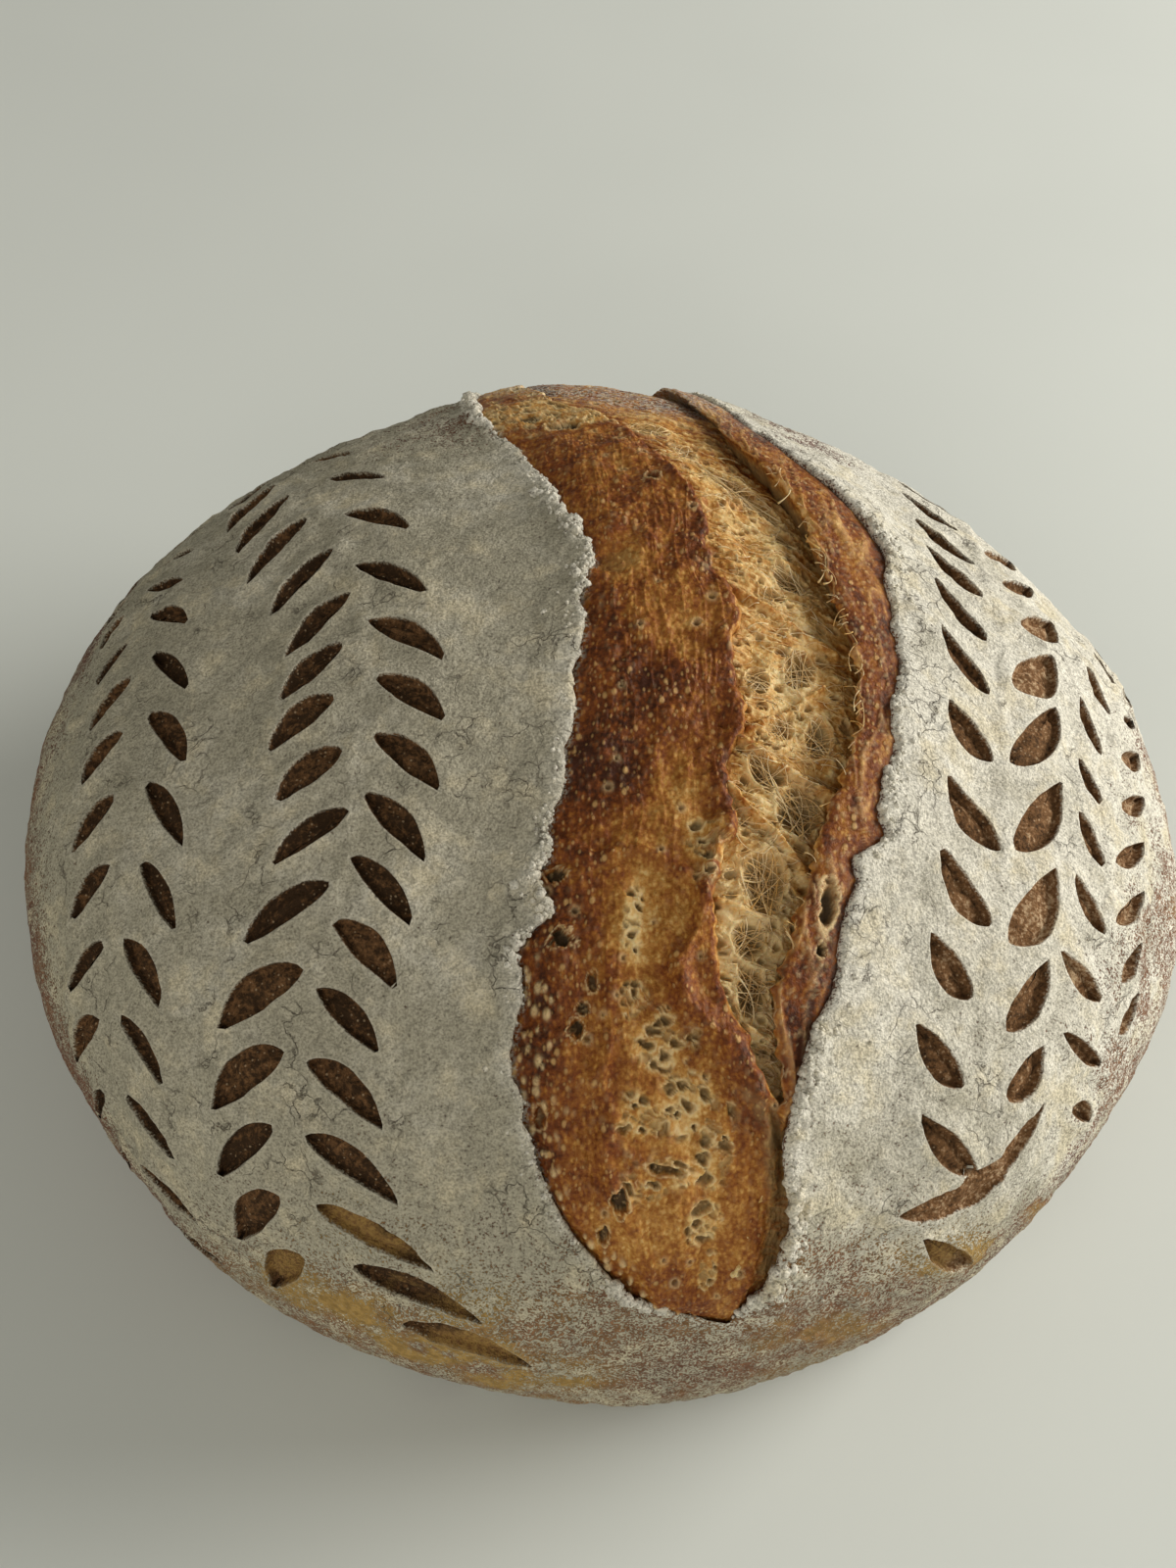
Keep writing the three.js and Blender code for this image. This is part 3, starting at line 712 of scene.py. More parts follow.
def floured_material():
    """Floured crust. Fields: cut, in millimetres outside the nearest cut, and flour, thick, bake, gold,
    stretched and tone, each about 0 to 1."""
    nodes = Nodes("floured_crust")
    cut = nodes.field("cut")
    cloud = nodes.noise(24, 3, 0.55)
    patches = nodes.noise(11, 4, 0.6)
    warm = nodes.noise(5, 3, 0.6)
    grain = nodes.noise(1.3, 3, 0.65)
    fine = nodes.noise(0.42, 2, 0.6)
    beads = nodes.spots(0.8)
    # Grey flour where thick is low; on the dim left side and at the left rim this is partly painted shade.
    thick = nodes.plus(nodes.field("thick"), (patches, 1.5), (cloud, 0.9), (grain, 0.3))
    flour_colour = nodes.blend(nodes.between(thick, 0.0, 1.0), FLOUR_GREY, FLOUR_PALE)
    creamy = nodes.between(nodes.plus(warm, (patches, 1.2)), 0.45, 0.85, 0, 0.75)
    flour_colour = nodes.blend(creamy, flour_colour, FLOUR_WARM)
    speckle = nodes.between(nodes.plus(fine, (grain, 0.5)), 0.28, 0.72, 0.66, 1.22)
    flour_colour = nodes.shade(flour_colour, speckle)
    baked = nodes.plus(nodes.field("bake"), (warm, 0.5))
    crust_colour = nodes.ramp(baked, [(0.1, CRUST_GOLD), (0.5, CRUST_BROWN), (0.9, CRUST_PURPLE)])
    crust_colour = nodes.shade(crust_colour, nodes.between(grain, 0.3, 0.7, 0.7, 1.25))
    # Flour lies in grains, so where it thins out it breaks up into specks.
    cover = nodes.plus(nodes.field("flour"), (fine, 2.4), (grain, 1.0), (warm, 0.5), (patches, 0.5))
    covered = nodes.between(cover, 0.3, 0.5)
    colour = nodes.blend(covered, crust_colour, flour_colour)
    # Hairline cracks where the skin was stretched.
    web_lines = nodes.scattered(6.5, None, nodes.warped(6, 11), "DISTANCE_TO_EDGE").outputs["Distance"]
    cracked = nodes.between(web_lines, 0.006, 0.03, 1, 0)
    where = nodes.plus(nodes.field("stretched"), (nodes.noise(14, 3, 0.6), 2.0))
    cracked = nodes.times(cracked, nodes.between(where, 0.25, 0.5))
    cracked = nodes.times(cracked, nodes.between(fine, 0.35, 0.6))
    colour = nodes.blend(nodes.times(cracked, 0.8), colour, CRACK_DARK)
    # The floors of the cuts: brown lumpy crumb with pale specks.
    lumps = nodes.noise(0.9, 3, 0.7)
    # The tone field paints the cut floors darker on the left and paler on the right: painted shade and
    # light.
    cut_tone = nodes.plus(nodes.field("tone"), (lumps, 1.8), (nodes.noise(3.0), 0.8))
    cut_colour = nodes.ramp(cut_tone, [(0.05, CUT_DARK), (0.55, CUT_BROWN), (0.95, CUT_PALE)])
    specks = nodes.dots(0.9, 0.3, 0.4)
    cut_colour = nodes.blend(nodes.times(specks, 0.5), cut_colour, CUT_PALE)
    golden = nodes.blend(nodes.between(lumps, 0.3, 0.6), CUT_BROWN, CUT_GOLD)
    cut_colour = nodes.blend(nodes.times(nodes.field("gold"), 0.85), cut_colour, golden)
    inside = nodes.between(nodes.plus(cut, (fine, 0.3)), -0.12, 0.02, 1, 0)
    edge = nodes.times(nodes.between(cut, -0.1, 0.02), nodes.between(cut, 0.1, 0.6, 1, 0))
    colour = nodes.blend(nodes.times(edge, 0.12), colour, FLOUR_PALE)
    colour = nodes.blend(inside, colour, cut_colour)
    normal = nodes.bump(grain, 0.42)
    normal = nodes.bump(nodes.inverse(beads), 0.12, normal)
    normal = nodes.bump(nodes.plus(fine, (covered, 0.6)), 0.22, normal)
    normal = nodes.bump(nodes.inverse(cracked), 0.4, normal)
    return nodes.finish(colour, 0.95, normal, specular=0.1)


def opening_material():
    """Torn crumb and bare crust. Fields: tone (0 pale to 1 darkest), brown, pale, rim, hole, deep, which
    paints shade in pits, holes and hollows, and dust."""
    nodes = Nodes("open_crumb")
    cloud = nodes.noise(4, 4, 0.6, distortion=0.6)
    fine = nodes.noise(0.7, 3, 0.65)
    blotch = nodes.noise(1.8, 3, 0.6, distortion=0.5)
    domes = nodes.spots(1.3)
    brown = nodes.field("brown")
    grains = nodes.spots(0.9, (1.0, 0.7, 0.85))
    tone = nodes.plus(nodes.field("tone"), (cloud, 0.6), (fine, 0.5), (blotch, 0.5))
    tone = nodes.maths("ADD", tone, nodes.between(grains, 0.1, 0.6, -0.09, 0.08), clamp=True)
    colour = nodes.ramp(tone, CRUMB_STOPS)
    # Pinhead blisters on the brown crust, drawn out along the loaf.
    pinheads = nodes.dots(0.9, 0.4, 0.5, (1.0, 0.6, 0.8))
    larger = nodes.dots(2.0, 0.32, 0.4, (1.0, 0.7, 0.9))
    pinheads = nodes.maths("MAXIMUM", nodes.times(pinheads, 0.6), nodes.times(larger, 0.85))
    colour = nodes.blend(nodes.times(pinheads, brown), colour, BLISTER_PALE)
    pale = nodes.times(nodes.field("pale"), nodes.between(fine, 0.25, 0.6, 0.5, 1.0))
    colour = nodes.blend(pale, colour, RIM_PALE)
    membrane = nodes.blend(nodes.between(cloud, 0.3, 0.8, 0.0, 0.5), MEMBRANE_OLIVE, FIBRE_GOLD)
    membrane = nodes.shade(membrane, nodes.between(fine, 0.3, 0.7, 0.85, 1.15))
    colour = nodes.blend(nodes.field("hole"), colour, membrane)
    # Painted shade: pits, holes, the groove and the deepest hollow are darkened where the field deep is
    # high.
    colour = nodes.blend(nodes.field("deep"), colour, PAINTED_HOLE_SHADE)
    colour = nodes.blend(nodes.times(nodes.field("rim"), nodes.between(fine, 0.3, 0.5)), colour, RIM_PALE)
    dusty = nodes.times(nodes.field("dust"), nodes.between(fine, 0.45, 0.58))
    colour = nodes.blend(dusty, colour, FLOUR_PALE)
    roughness = nodes.between(fine, 0.2, 0.8, 0.42, 0.66)
    normal = nodes.bump(nodes.inverse(domes), 0.15)
    normal = nodes.bump(nodes.times(pinheads, brown), 0.25, normal)
    normal = nodes.bump(fine, 0.35, normal)
    return nodes.finish(colour, roughness, normal, specular=0.2, subsurface=0.15)


def fibre_material():
    """Strands of torn crumb. Field: gold, 0 pale to 1 golden."""
    nodes = Nodes("crumb_strands")
    fine = nodes.noise(1.5, 2, 0.6)
    gold = nodes.maths("ADD", nodes.field("gold"), nodes.maths("SUBTRACT", fine, 0.5), clamp=True)
    colour = nodes.blend(gold, FIBRE_PALE, FIBRE_GOLD)
    normal = nodes.bump(fine, 0.05)
    return nodes.finish(colour, 0.6, normal, specular=0.3, subsurface=0.2)


def floor_material():
    nodes = Nodes("plain_floor")
    cloud = nodes.noise(120, 2, 0.5)
    shaded = tuple(0.97 * part for part in FLOOR_PALE)
    colour = nodes.blend(nodes.between(cloud, 0.3, 0.7), FLOOR_PALE, shaded)
    return nodes.finish(colour, 0.9, nodes.bump(cloud, 0.05), specular=0.1)


# The floured skins on either side of the opening.
class Edge:
    """A torn edge of the skin, with how far its lip stands up and how far out it slopes away."""

    def __init__(self, line, lip, reach):
        shares = np.linspace(0, 1, EDGE_STEPS)
        self.a, self.b = line(shares)
        self.open = lift(shares, self.b)
        self.line, self.lip, self.reach = line, lip, reach

    def distance(self, a, b):
        """From each point to the edge, and how open the opening is there."""
        flat_a, flat_b = a.ravel(), b.ravel()
        nearest = np.full(flat_a.shape, 99.0)
        opened = np.zeros(flat_a.shape)
        near = np.flatnonzero(flat_a * flat_a < EDGE_ZONE**2)
        for part in np.array_split(near, len(near) // POINTS_AT_ONCE + 1):
            gap = np.hypot(flat_a[part, None] - self.a, flat_b[part, None] - self.b)
            best = gap.argmin(axis=1)
            nearest[part] = gap[np.arange(len(part)), best]
            opened[part] = self.open[best]
        return nearest.reshape(a.shape), opened.reshape(a.shape)


LEFT_EDGE = Edge(left_edge, LEFT_LIP, LEFT_LIP_REACH)
RIGHT_EDGE = Edge(right_edge, RIGHT_LIP, RIGHT_LIP_REACH)


def crumbliness(a, b):
    """Where the torn edges crumble, and where they are clean."""
    heaped = 0.7 * hump(b, -56, 11) * smoothstep(20, 5, a)
    return 0.15 + heaped + smoothstep(-0.2, 0.5, noise(a, b, 13, 83))


def skin_height(edge, a, b, outside):
    """How high the floured skin lies over the dome, leaving out its cuts."""
    distance, opened = edge.distance(a, b)
    height = edge.lip * opened * (1 - smoothstep(0, edge.reach, distance))
    height += 0.25 * layers(a, b, 7, 71) + 0.18 * layers(a, b, 2.1, 72) + 0.4 * noise(a, b, 19, 73)
    height += 0.5 * smoothstep(2.2, 0.2, stem_distance(a, b) + 0.5 * noise(a, b, 3.5, 74))
    height += 0.55 * smoothstep(4.5, 0.2, np.maximum(outside, 0))
    crumbly = hump(distance, 0, 2.6) * crumbliness(a, b)
    height += crumbly * (0.5 * layers(a, b, 1.7, 75) + 0.4 * noise(a, b, 5, 79) + 0.3)
    return height


# Worn places with little flour: a, b, spread along a, spread along b, how worn and how golden.
BARE_SPOTS = [
    (-50, -128, 17, 6, 0.75, 0.9),
    (-30, -139, 18, 6, 0.7, 0.9),
    (-14, -149, 14, 5, 0.6, 0.7),
    (-62, -122, 8, 6, 0.12, 0.9),
    (-40, -111, 13, 6, 0.0, 0.75),
    (-31, -123, 15, 6, 0.1, 0.9),
    (77, -106, 10, 6, 0.15, 1.0),
    (92, -106, 10, 4, 0.5, 0.7),
    (112, -94, 10, 6, 0.55, 0.6),
    (60, -130, 24, 6, 0.45, 0.4),
    (26, -136, 24, 12, 0.5, 0.0),
    (34, -120, 10, 12, 0.35, 0.0),
    (6, -128, 16, 7, 0.45, 0.0),
    (60, -112, 16, 8, 0.25, 0.0),
    (-116, 36, 15, 38, 0.75, 0.0),
    (-132, -40, 15, 44, 0.7, 0.1),
    (-86, 82, 26, 14, 0.5, 0.0),
    (133, 0, 29, 52, 0.85, 0.1),
    (124, -60, 24, 28, 0.7, 0.1),
    (38, 74, 12, 16, 0.75, 0.0),
    (50, 96, 18, 16, 0.5, 0.0),
    (-26, 70, 10, 10, 0.65, 0.0),
    (-42, 58, 16, 12, 0.4, 0.0),
    (-60, 92, 24, 14, 0.4, 0.0),
    (0, 134, 40, 12, 0.3, 0.1),
]


def skin_fields(a, b, z, outside, chance, edge_distance):
    """Flour: full on top, thin towards the rim and in worn places. Thick: pale flour rather than a thin
    grey film; it runs greyer towards the left, low down, at the front and at the left rim, and on the dim
    left side and the left rim that greyness is partly painted shade. Bake: golden to purple-brown. Gold:
    where
    the cuts are golden too. Stretched: where the skin has cracked. Tone: how pale the floors of the cuts
    are, paler to the right as painted light and darker to the left as painted shade."""
    flour = mix(0.45, 1.05, smoothstep(12, 58, z + 9 * layers(a, b, 34, 61)))
    front = smoothstep(-80, -130, b)
    # The left rim is given less and greyer flour: partly bare crust, partly painted shade.
    left_rim = smoothstep(-94, -120, a)
    right_front = smoothstep(-40, -90, b) * smoothstep(10, 50, a)
    flour -= 0.34 * front + 0.5 * left_rim + 0.1 * right_front
    gold = 0 * a
    for *place, worn, golden in BARE_SPOTS:
        share = np.clip(spot(a, b, *place) * (1.1 + 0.8 * layers(a, b, (7, 5), 62)), 0, 1)
        flour = flour - worn * share
        gold = np.maximum(gold, share * golden)
    least = 0.44 - 0.5 * gold - 0.16 * left_rim + 0.14 * layers(a, b, 5, 63)
    flour = np.maximum(flour, least)
    # Greyer towards the left and at the left rim: partly thin flour, partly painted shade for the dim left
    # side.
    thick = 0.16 + 0.62 * smoothstep(-10, 45, a) + 0.12 * layers(a, b, 26, 64)
    thick -= 0.46 * smoothstep(60, 20, z) + 0.4 * front + 0.4 * smoothstep(-80, -125, a)
    thick -= 0.2 * right_front
    thick += 0.35 * hump(edge_distance, 0, 2.5)
    bake = 0.72 - 0.2 * front - 0.9 * gold + 0.2 * layers(a, b, 21, 78)
    # Paler cut floors towards the right and darker towards the left: painted light and shade.
    tone = 0.02 + 0.25 * chance + 0.1 * smoothstep(50, 20, z) + 0.36 * smoothstep(10, 90, a)
    between_leaves = hump(outside, 3.5, 2.5) * (outside < FAR - 0.1)
    stretched = 0.34 * between_leaves + 0.34 * hump(edge_distance, 0, 12)
    return {
        "cut": outside, "flour": flour, "thick": thick, "bake": bake,
        "gold": smoothstep(0.2, 0.7, gold), "stretched": stretched, "tone": tone,
    }


def plain_fields(flour, thick):
    """The same fields for pieces of crust without cuts or worn places."""
    flat = 0 * flour
    return {
        "cut": flat + FAR, "flour": flour, "thick": thick, "bake": flat + 0.6,
        "gold": flat, "stretched": flat - 1, "tone": flat,
    }


# How the skin turns in under its torn edge: out over the opening, and down.
LEFT_TUCK = [(1.6, -3.4), (0.5, -2.2), (-0.3, -1.3), (-0.45, -0.5)]
RIGHT_TUCK = [(3.6, -4.8), (1.8, -3.4), (0.2, -2.4), (-0.8, -1.5), (-0.8, -0.6)]


def split_quads(rows, columns, flipped, outside, fixed):
    """Triangles of a grid, cut along the outlines of the leaf cuts, whose insides are left out."""
    quads = grid_faces(rows, columns, flipped)
    on_outline = fixed.ravel()[quads]
    other_way = on_outline[:, 1] & on_outline[:, 3]
    first = np.where(other_way[:, None], quads[:, [1, 2, 3]], quads[:, [0, 1, 2]])
    second = np.where(other_way[:, None], quads[:, [1, 3, 0]], quads[:, [0, 2, 3]])
    triangles = np.concatenate([first, second])
    corners = outside.ravel()[triangles]
    held = fixed.ravel()[triangles]
    inside = ((corners < 0) & ~held).any(axis=1) | (held.all(axis=1) & (corners.mean(axis=1) < 0))
    return triangles[~inside]


def make_skin(name, edge, tuck, rim_from, rim_to, tucked_flour, flipped, material):
    """Rows run along the opening, and columns from under the lip down to the rim."""
    shares = np.linspace(0, 1, SKIN_ROWS)
    edge_a, edge_b = edge.line(shares)
    angle = mix(rim_from, rim_to, shares)
    rim_a, rim_b = RIM * np.cos(angle), RIM * np.sin(angle)
    length = np.hypot(rim_a - edge_a, rim_b - edge_b)
    # Columns lie closer together near the torn edge.
    across = np.linspace(0, 1, SKIN_COLUMNS)
    across = across * (0.7 + 0.3 * across)
    open_here = openness(shares)[:, None]
    tuck = np.array(tuck)
    tucked = tuck[None, :, 0] * open_here / length[:, None]
    share = np.concatenate([tucked, np.repeat(across[None, :], SKIN_ROWS, axis=0)], axis=1)
    drop = np.concatenate([tuck[None, :, 1] * open_here, np.zeros((SKIN_ROWS, SKIN_COLUMNS))], axis=1)
    a = mix(edge_a[:, None], rim_a[:, None], share)
    b = mix(edge_b[:, None], rim_b[:, None], share)
    on_skin = np.arange(a.shape[1])[None, :] >= len(tuck)
    outside, near_a, near_b, _, chance = cut_fields(a, b)
    # Points nearest to where a grid line crosses an outline move onto it.
    fixed = np.zeros(a.shape, bool)
    for axis in (0, 1):
        low = [slice(None), slice(None)]
        high = [slice(None), slice(None)]
        low[axis], high[axis] = slice(None, -1), slice(1, None)
        low, high = tuple(low), tuple(high)
        crossed = (outside[low] < 0) != (outside[high] < 0)
        low_closer = np.abs(outside[low]) < np.abs(outside[high])
        fixed[low] |= crossed & low_closer
        fixed[high] |= crossed & ~low_closer
    a = np.where(fixed, near_a, a)
    b = np.where(fixed, near_b, b)
    faces = split_quads(*a.shape, flipped, outside, fixed)
    outside = np.where(fixed, 0, outside)
    height = skin_height(edge, a, b, outside) + drop
    points = crust_points(a, b, height)
    fields = skin_fields(a, b, points[..., 2], outside, chance, edge.distance(a, b)[0])
    fields["flour"] = np.where(on_skin, fields["flour"], tucked_flour)
    make_piece(name, points, faces, fields, material)


def make_cuts(name, edge, numbers, material):
    """The lips, walls and floors of the cuts: rings of points round each, from outside to its spine."""
    rings = len(CUT_WALL) + len(CUT_FLOOR)
    around = 2 * CUT_STEPS
    shape = (len(numbers), rings, around)
    a, b, sunk, own, chances, far = (np.zeros(shape) for _ in range(6))
    for place, number in enumerate(numbers):
        start_a, start_b, length, turn, _, _, depth, chance = LEAVES[number]
        x, spine, upper, lower = leaf_sides(LEAVES[number], CUT_STEPS)
        line_x, line_y = closed(x, x), closed(upper, lower)
        centre_x = length * (0.5 + 0.9 * (line_x / length - 0.5))
        centre_y = np.interp(centre_x, x, spine)
        tangent_x = np.roll(line_x, -1) - np.roll(line_x, 1)
        tangent_y = np.roll(line_y, -1) - np.roll(line_y, 1)
        size = np.hypot(tangent_x, tangent_y) + 1e-9
        out_x, out_y = -tangent_y / size, tangent_x / size
        gap = np.hypot(centre_x - line_x, centre_y - line_y) + 1e-9
        in_x, in_y = (centre_x - line_x) / gap, (centre_y - line_y) / gap
        reached = np.minimum(CUT_WALL[-1][0], gap)
        for ring in range(rings):
            if ring < len(CUT_WALL):
                inward, share = CUT_WALL[ring]
                inward = np.minimum(inward, gap) if inward > 0 else inward + 0 * gap
            else:
                inward = mix(reached, gap, CUT_FLOOR[ring - len(CUT_WALL)])
                share = 1.0
            step_x = np.where(inward > 0, in_x, -out_x) * inward
            step_y = np.where(inward > 0, in_y, -out_y) * inward
            at_x, at_y = line_x + step_x, line_y + step_y
            a[place, ring] = start_a + at_x * math.cos(turn) - at_y * math.sin(turn)
            b[place, ring] = start_b + at_x * math.sin(turn) + at_y * math.cos(turn)
            crown = LEAF_CROWN * smoothstep(0.6, 2.4, inward)
            sunk[place, ring] = share * depth * np.minimum(1, 0.5 + gap) - crown
            far[place, ring] = -inward
        own[place] = number
        chances[place] = chance
    outside, _, _, _, _ = cut_fields(a, b)
    other, _, _, other_depth, _ = cut_fields(a, b, own)
    floor = smoothstep(0.3, 0.9, -far)
    sunk += floor * (0.3 * layers(a, b, 1.5, 76) + 0.25 * layers(a, b, 4, 80))
    sunk = np.maximum(sunk, (other_depth + 0.1) * smoothstep(0.1, -0.6, other))
    height = skin_height(edge, a, b, np.maximum(outside, 0)) - sunk
    points = crust_points(a, b, height)
    fields = skin_fields(a, b, points[..., 2], far, chances, edge.distance(a, b)[0])
    make_piece(name, points, ring_faces(np.arange(a.size).reshape(shape)), fields, material)


# The opening: bare crust on its left, torn crumb in the middle and the ear on its right. Sections
# across the crust, the merged crust near the front tip and the hollow: shares, then heights.
CRUST_SECTION = ([0, 0.05, 0.12, 0.3, 0.6, 0.88, 0.97, 1], [-1.8, -1.2, -0.3, 1.2, 2.1, 2.6, 2.9, 2.5])
FRONT_SECTION = (
    [0, 0.05, 0.12, 0.3, 0.6, 0.84, 0.9, 0.95, 0.975, 1],
    [-1.8, -1.2, -0.3, 1.0, 1.6, 1.2, -0.4, -0.8, -0.4, -1.6],
)
HOLLOW_SECTION = ([0, 0.1, 0.3, 0.6, 0.8, 1], [-1.4, 1.3, 0.5, -1.3, -2.4, -4.6])
# The ridge's torn edge turns over and goes back under itself: shift along a and height.
RIDGE_FOLD = [(0.35, 1.9), (0.45, 1.0), (0.2, 0.0), (-0.8, -1.6)]
# Bake spots over the opening: a, b, spread along a, spread along b, change of tone.
BAKE_SPOTS = [
    (0, -33, 9, 9, 0.34),
    (5, -16, 7, 8, 0.24),
    (-5, 6, 5, 16, 0.16),
    (-10, 34, 8, 12, 0.12),
    (13, 20, 6, 14, 0.16),
    (24, -33, 3.5, 6, 0.20),
    (-9, -84, 5, 20, 0.16),
    (-3, -58, 6, 6, 0.14),
    (2, 30, 7, 14, 0.05),
    (1, 10, 5, 5, -0.18),
    (14, -6, 5, 8, -0.12),
    (13, -38, 6, 6, -0.22),
    (5, -46, 7, 4, -0.12),
    (11, -60, 8, 8, -0.22),
    (5, -66, 4, 10, -0.14),
    (14, -88, 9, 14, -0.18),
    (8, -112, 12, 9, -0.24),
    (28, -108, 8, 14, -0.14),
    (2, 62, 30, 8, -0.20),
]
# Ropes of crust, and furrows with a height below 0: points along each, half width, height and change
# of tone.
ROPES = [
    ([(20, -44), (18, -54), (16.6, -62), (14, -67), (16, -73), (21.6, -77), (26.6, -82), (31, -90),
      (34, -100)], 3.0, 1.9, 0.07),
    ([(-9, -48), (-1, -50.5), (8, -49), (14, -52), (18, -56)], 2.4, 1.1, 0.10),
    ([(3, -68), (4, -78), (3, -85), (5, -91), (4, -98), (8, -105), (12, -113), (16, -122)],
     2.6, 0.9, 0.08),
    ([(-6, -64), (-5, -80), (-4, -95), (0, -108)], 5.0, 1.0, 0.04),
    ([(8, -54), (9, -66), (11, -76), (14, -84), (19, -92), (23, -102), (24, -116)], 5.0, -1.1, -0.05),
    ([(24, -44), (25, -52), (24, -60)], 2.0, -0.6, -0.05),
]
# Patches of open cells in the crust: a, b, half sizes along a and b.
COMB_PATCHES = [
    (6.5, -61, 1.7, 7),
    (7.5, -73, 2.6, 3),
    (12, -79, 5.0, 4.6),
    (17.5, -88, 5.5, 5),
    (9, -90.5, 4.0, 3),
    (23, -94, 3.0, 7),
    (16, -98.5, 6.0, 2),
    (11, -101, 3.5, 3),
    (22, -106, 3.0, 4),
    (24.5, -115, 1.6, 4),
    (17.7, -48, 3.6, 4.5),
    (-14, 62, 18, 9),
    (8, 60, 12, 7),
    (-12, 86, 18, 16),
]
# Single pits: a, b, half sizes along a and b, depth.
PITS = [
    (-6.6, -53.6, 1.8, 1.3, 1.6),
    (-4.7, -64.7, 2.5, 1.8, 1.9),
    (-1.8, -78.6, 1.5, 1.5, 1.6),
    (-1.0, -75.2, 1.1, 1.2, 1.5),
    (0.5, -71, 0.9, 1.5, 1.2),
    (-7.4, -92, 1.2, 2.4, 1.1),
    (6.0, 31.8, 1.8, 1.5, 1.2),
    (-4.9, -3.3, 1.0, 0.8, 1.2),
    (-4.4, 1.5, 0.8, 0.6, 1.0),
    (7.2, -104.0, 1.5, 2.1, 1.8),
    (4.8, -110, 1.1, 1.6, 1.3),
    (14.5, -98.3, 3.6, 0.9, 1.2),
    (1.1, 9.6, 5.0, 3.6, 0.9),
    (16.3, -33.2, 2.4, 2.0, 0.6),
    (20, -25.4, 1.5, 1.3, 0.6),
    (-11.7, 53.5, 3.6, 2.4, 2.2),
    (3.7, 54.5, 3.4, 2.2, 1.8),
    (-18, 59, 3.0, 2.0, 1.2),
    (-7, 62.5, 2.6, 1.8, 1.0),
]
# Windows in the hollow, where the crumb was pulled thin: a, b, half sizes, turn and depth.
WINDOWS = [
    (23, 35.5, 9.5, 2.8, -38, 2.6),
    (32.5, 24.8, 2.8, 2.4, 0, 2.0),
    (31.4, 11.8, 3.6, 2.8, 10, 2.6),
    (27, 6, 2.2, 1.6, 0, 1.6),
    (31.7, -9.3, 2.6, 4.4, 10, 2.8),
    (25.0, -14, 2.0, 2.6, 0, 1.6),
    (36.3, -22.4, 2.4, 3.8, 0, 2.8),
    (30, -22.5, 2.2, 2.2, 0, 1.8),
    (28.0, -31.5, 3.4, 2.6, -35, 2.4),
    (33.7, -37.3, 4.4, 4.2, -30, 3.0),
    (28.2, -51, 4.0, 5.5, 0, 2.8),
    (25.8, -61.4, 3.2, 3.4, 0, 2.2),
    (26.8, -69.5, 3.0, 4.6, 0, 2.8),
    (29.6, -78.6, 1.6, 1.0, 0, 1.6),
    (29.9, -82, 1.7, 1.0, 0, 1.6),
    (30.6, -87.6, 2.3, 2.4, 0, 2.8),
    (5, 54, 4, 2.4, 0, 1.6),
    (12, 47, 3, 2, -30, 1.6),
]
# Struts of crumb across the hollow: from, to, half width and height.
STRUTS = [
    ((14, 27), (22, 30), 1.0, 0.8),
    ((19, 5), (38, -3), 1.2, 1.4),
    ((21, 14), (34, 17), 1.0, 1.0),
    ((22, -27), (40, -33), 1.0, 2.0),
    ((24, -25), (36, -12), 0.8, 1.2),
    ((21, -36), (33, -46), 1.2, 2.2),
    ((33, -46), (37, -49), 1.6, 2.2),
    ((20, -56), (33, -57), 0.9, 1.2),
    ((24, -65), (31, -65), 0.8, 1.2),
    ((26, -75), (32, -76), 0.8, 1.2),
    ((28, -85), (33, -84.6), 0.8, 1.2),
]


def line_distance(a, b, points):
    """Distance to a line through points."""
    nearest = np.full(a.shape, 99.0)
    for (from_a, from_b), (to_a, to_b) in zip(points, points[1:]):
        run_a, run_b = to_a - from_a, to_b - from_b
        share = np.clip(((a - from_a) * run_a + (b - from_b) * run_b) / (run_a**2 + run_b**2), 0, 1)
        nearest = np.minimum(nearest, np.hypot(a - from_a - share * run_a, b - from_b - share * run_b))
    return nearest


def oval(a, b, at_a, at_b, half_a, half_b, turn=0.0):
    """How far out of an oval each point is: 0 at its middle, 1 at its rim."""
    cosine, sine = math.cos(math.radians(turn)), math.sin(math.radians(turn))
    x = (a - at_a) * cosine + (b - at_b) * sine
    y = (b - at_b) * cosine - (a - at_a) * sine
    return np.hypot(x / half_a, y / half_b)


def comb_share(a, b):
    """How much each point lies in a patch of open cells."""
    share = 0 * a
    wobble = 0.25 * layers(a, b, 3, 82)
    for patch in COMB_PATCHES:
        share = np.maximum(share, smoothstep(1.25, 0.8, oval(a, b, *patch) + wobble))
    return share


def pit_fields(a, b):
    """Depth of the single pits, and how much each point is on a pit's rim."""
    depth, rim = 0 * a, 0 * a
    for number, (at_a, at_b, half_a, half_b, deep) in enumerate(PITS):
        wobble = 0.34 * layers(a + 7 * number, b, 0.4 * (half_a + half_b), 81)
        out = oval(a, b, at_a, at_b, half_a, half_b) + wobble
        depth = np.maximum(depth, deep * smoothstep(0.95, 0.5, out))
        edge_width = 0.2 / min(half_a, half_b)
        ring = smoothstep(1 - edge_width, 1.0, out) * smoothstep(1 + 1.5 * edge_width, 1.05, out)
        rim = np.maximum(rim, ring * smoothstep(0.8, 1.3, deep))
    return depth, rim


def filled(chosen, seed, salt, density):
    """Whether each cell, by its random number, is one of the share of cells that hold something."""
    return lattice(np.floor(chosen * 9999).astype(np.int64), np.int64(seed), salt) < density


def blister_fields(a, b, size, seed, density):
    """Small domed blisters: their height from 0 to 1."""
    nearest, _, chosen = cells(a, b, size, seed)
    radius = 0.22 + 0.3 * chosen
    return np.where(filled(chosen, seed, 4, density), smoothstep(radius, radius * 0.3, nearest), 0)


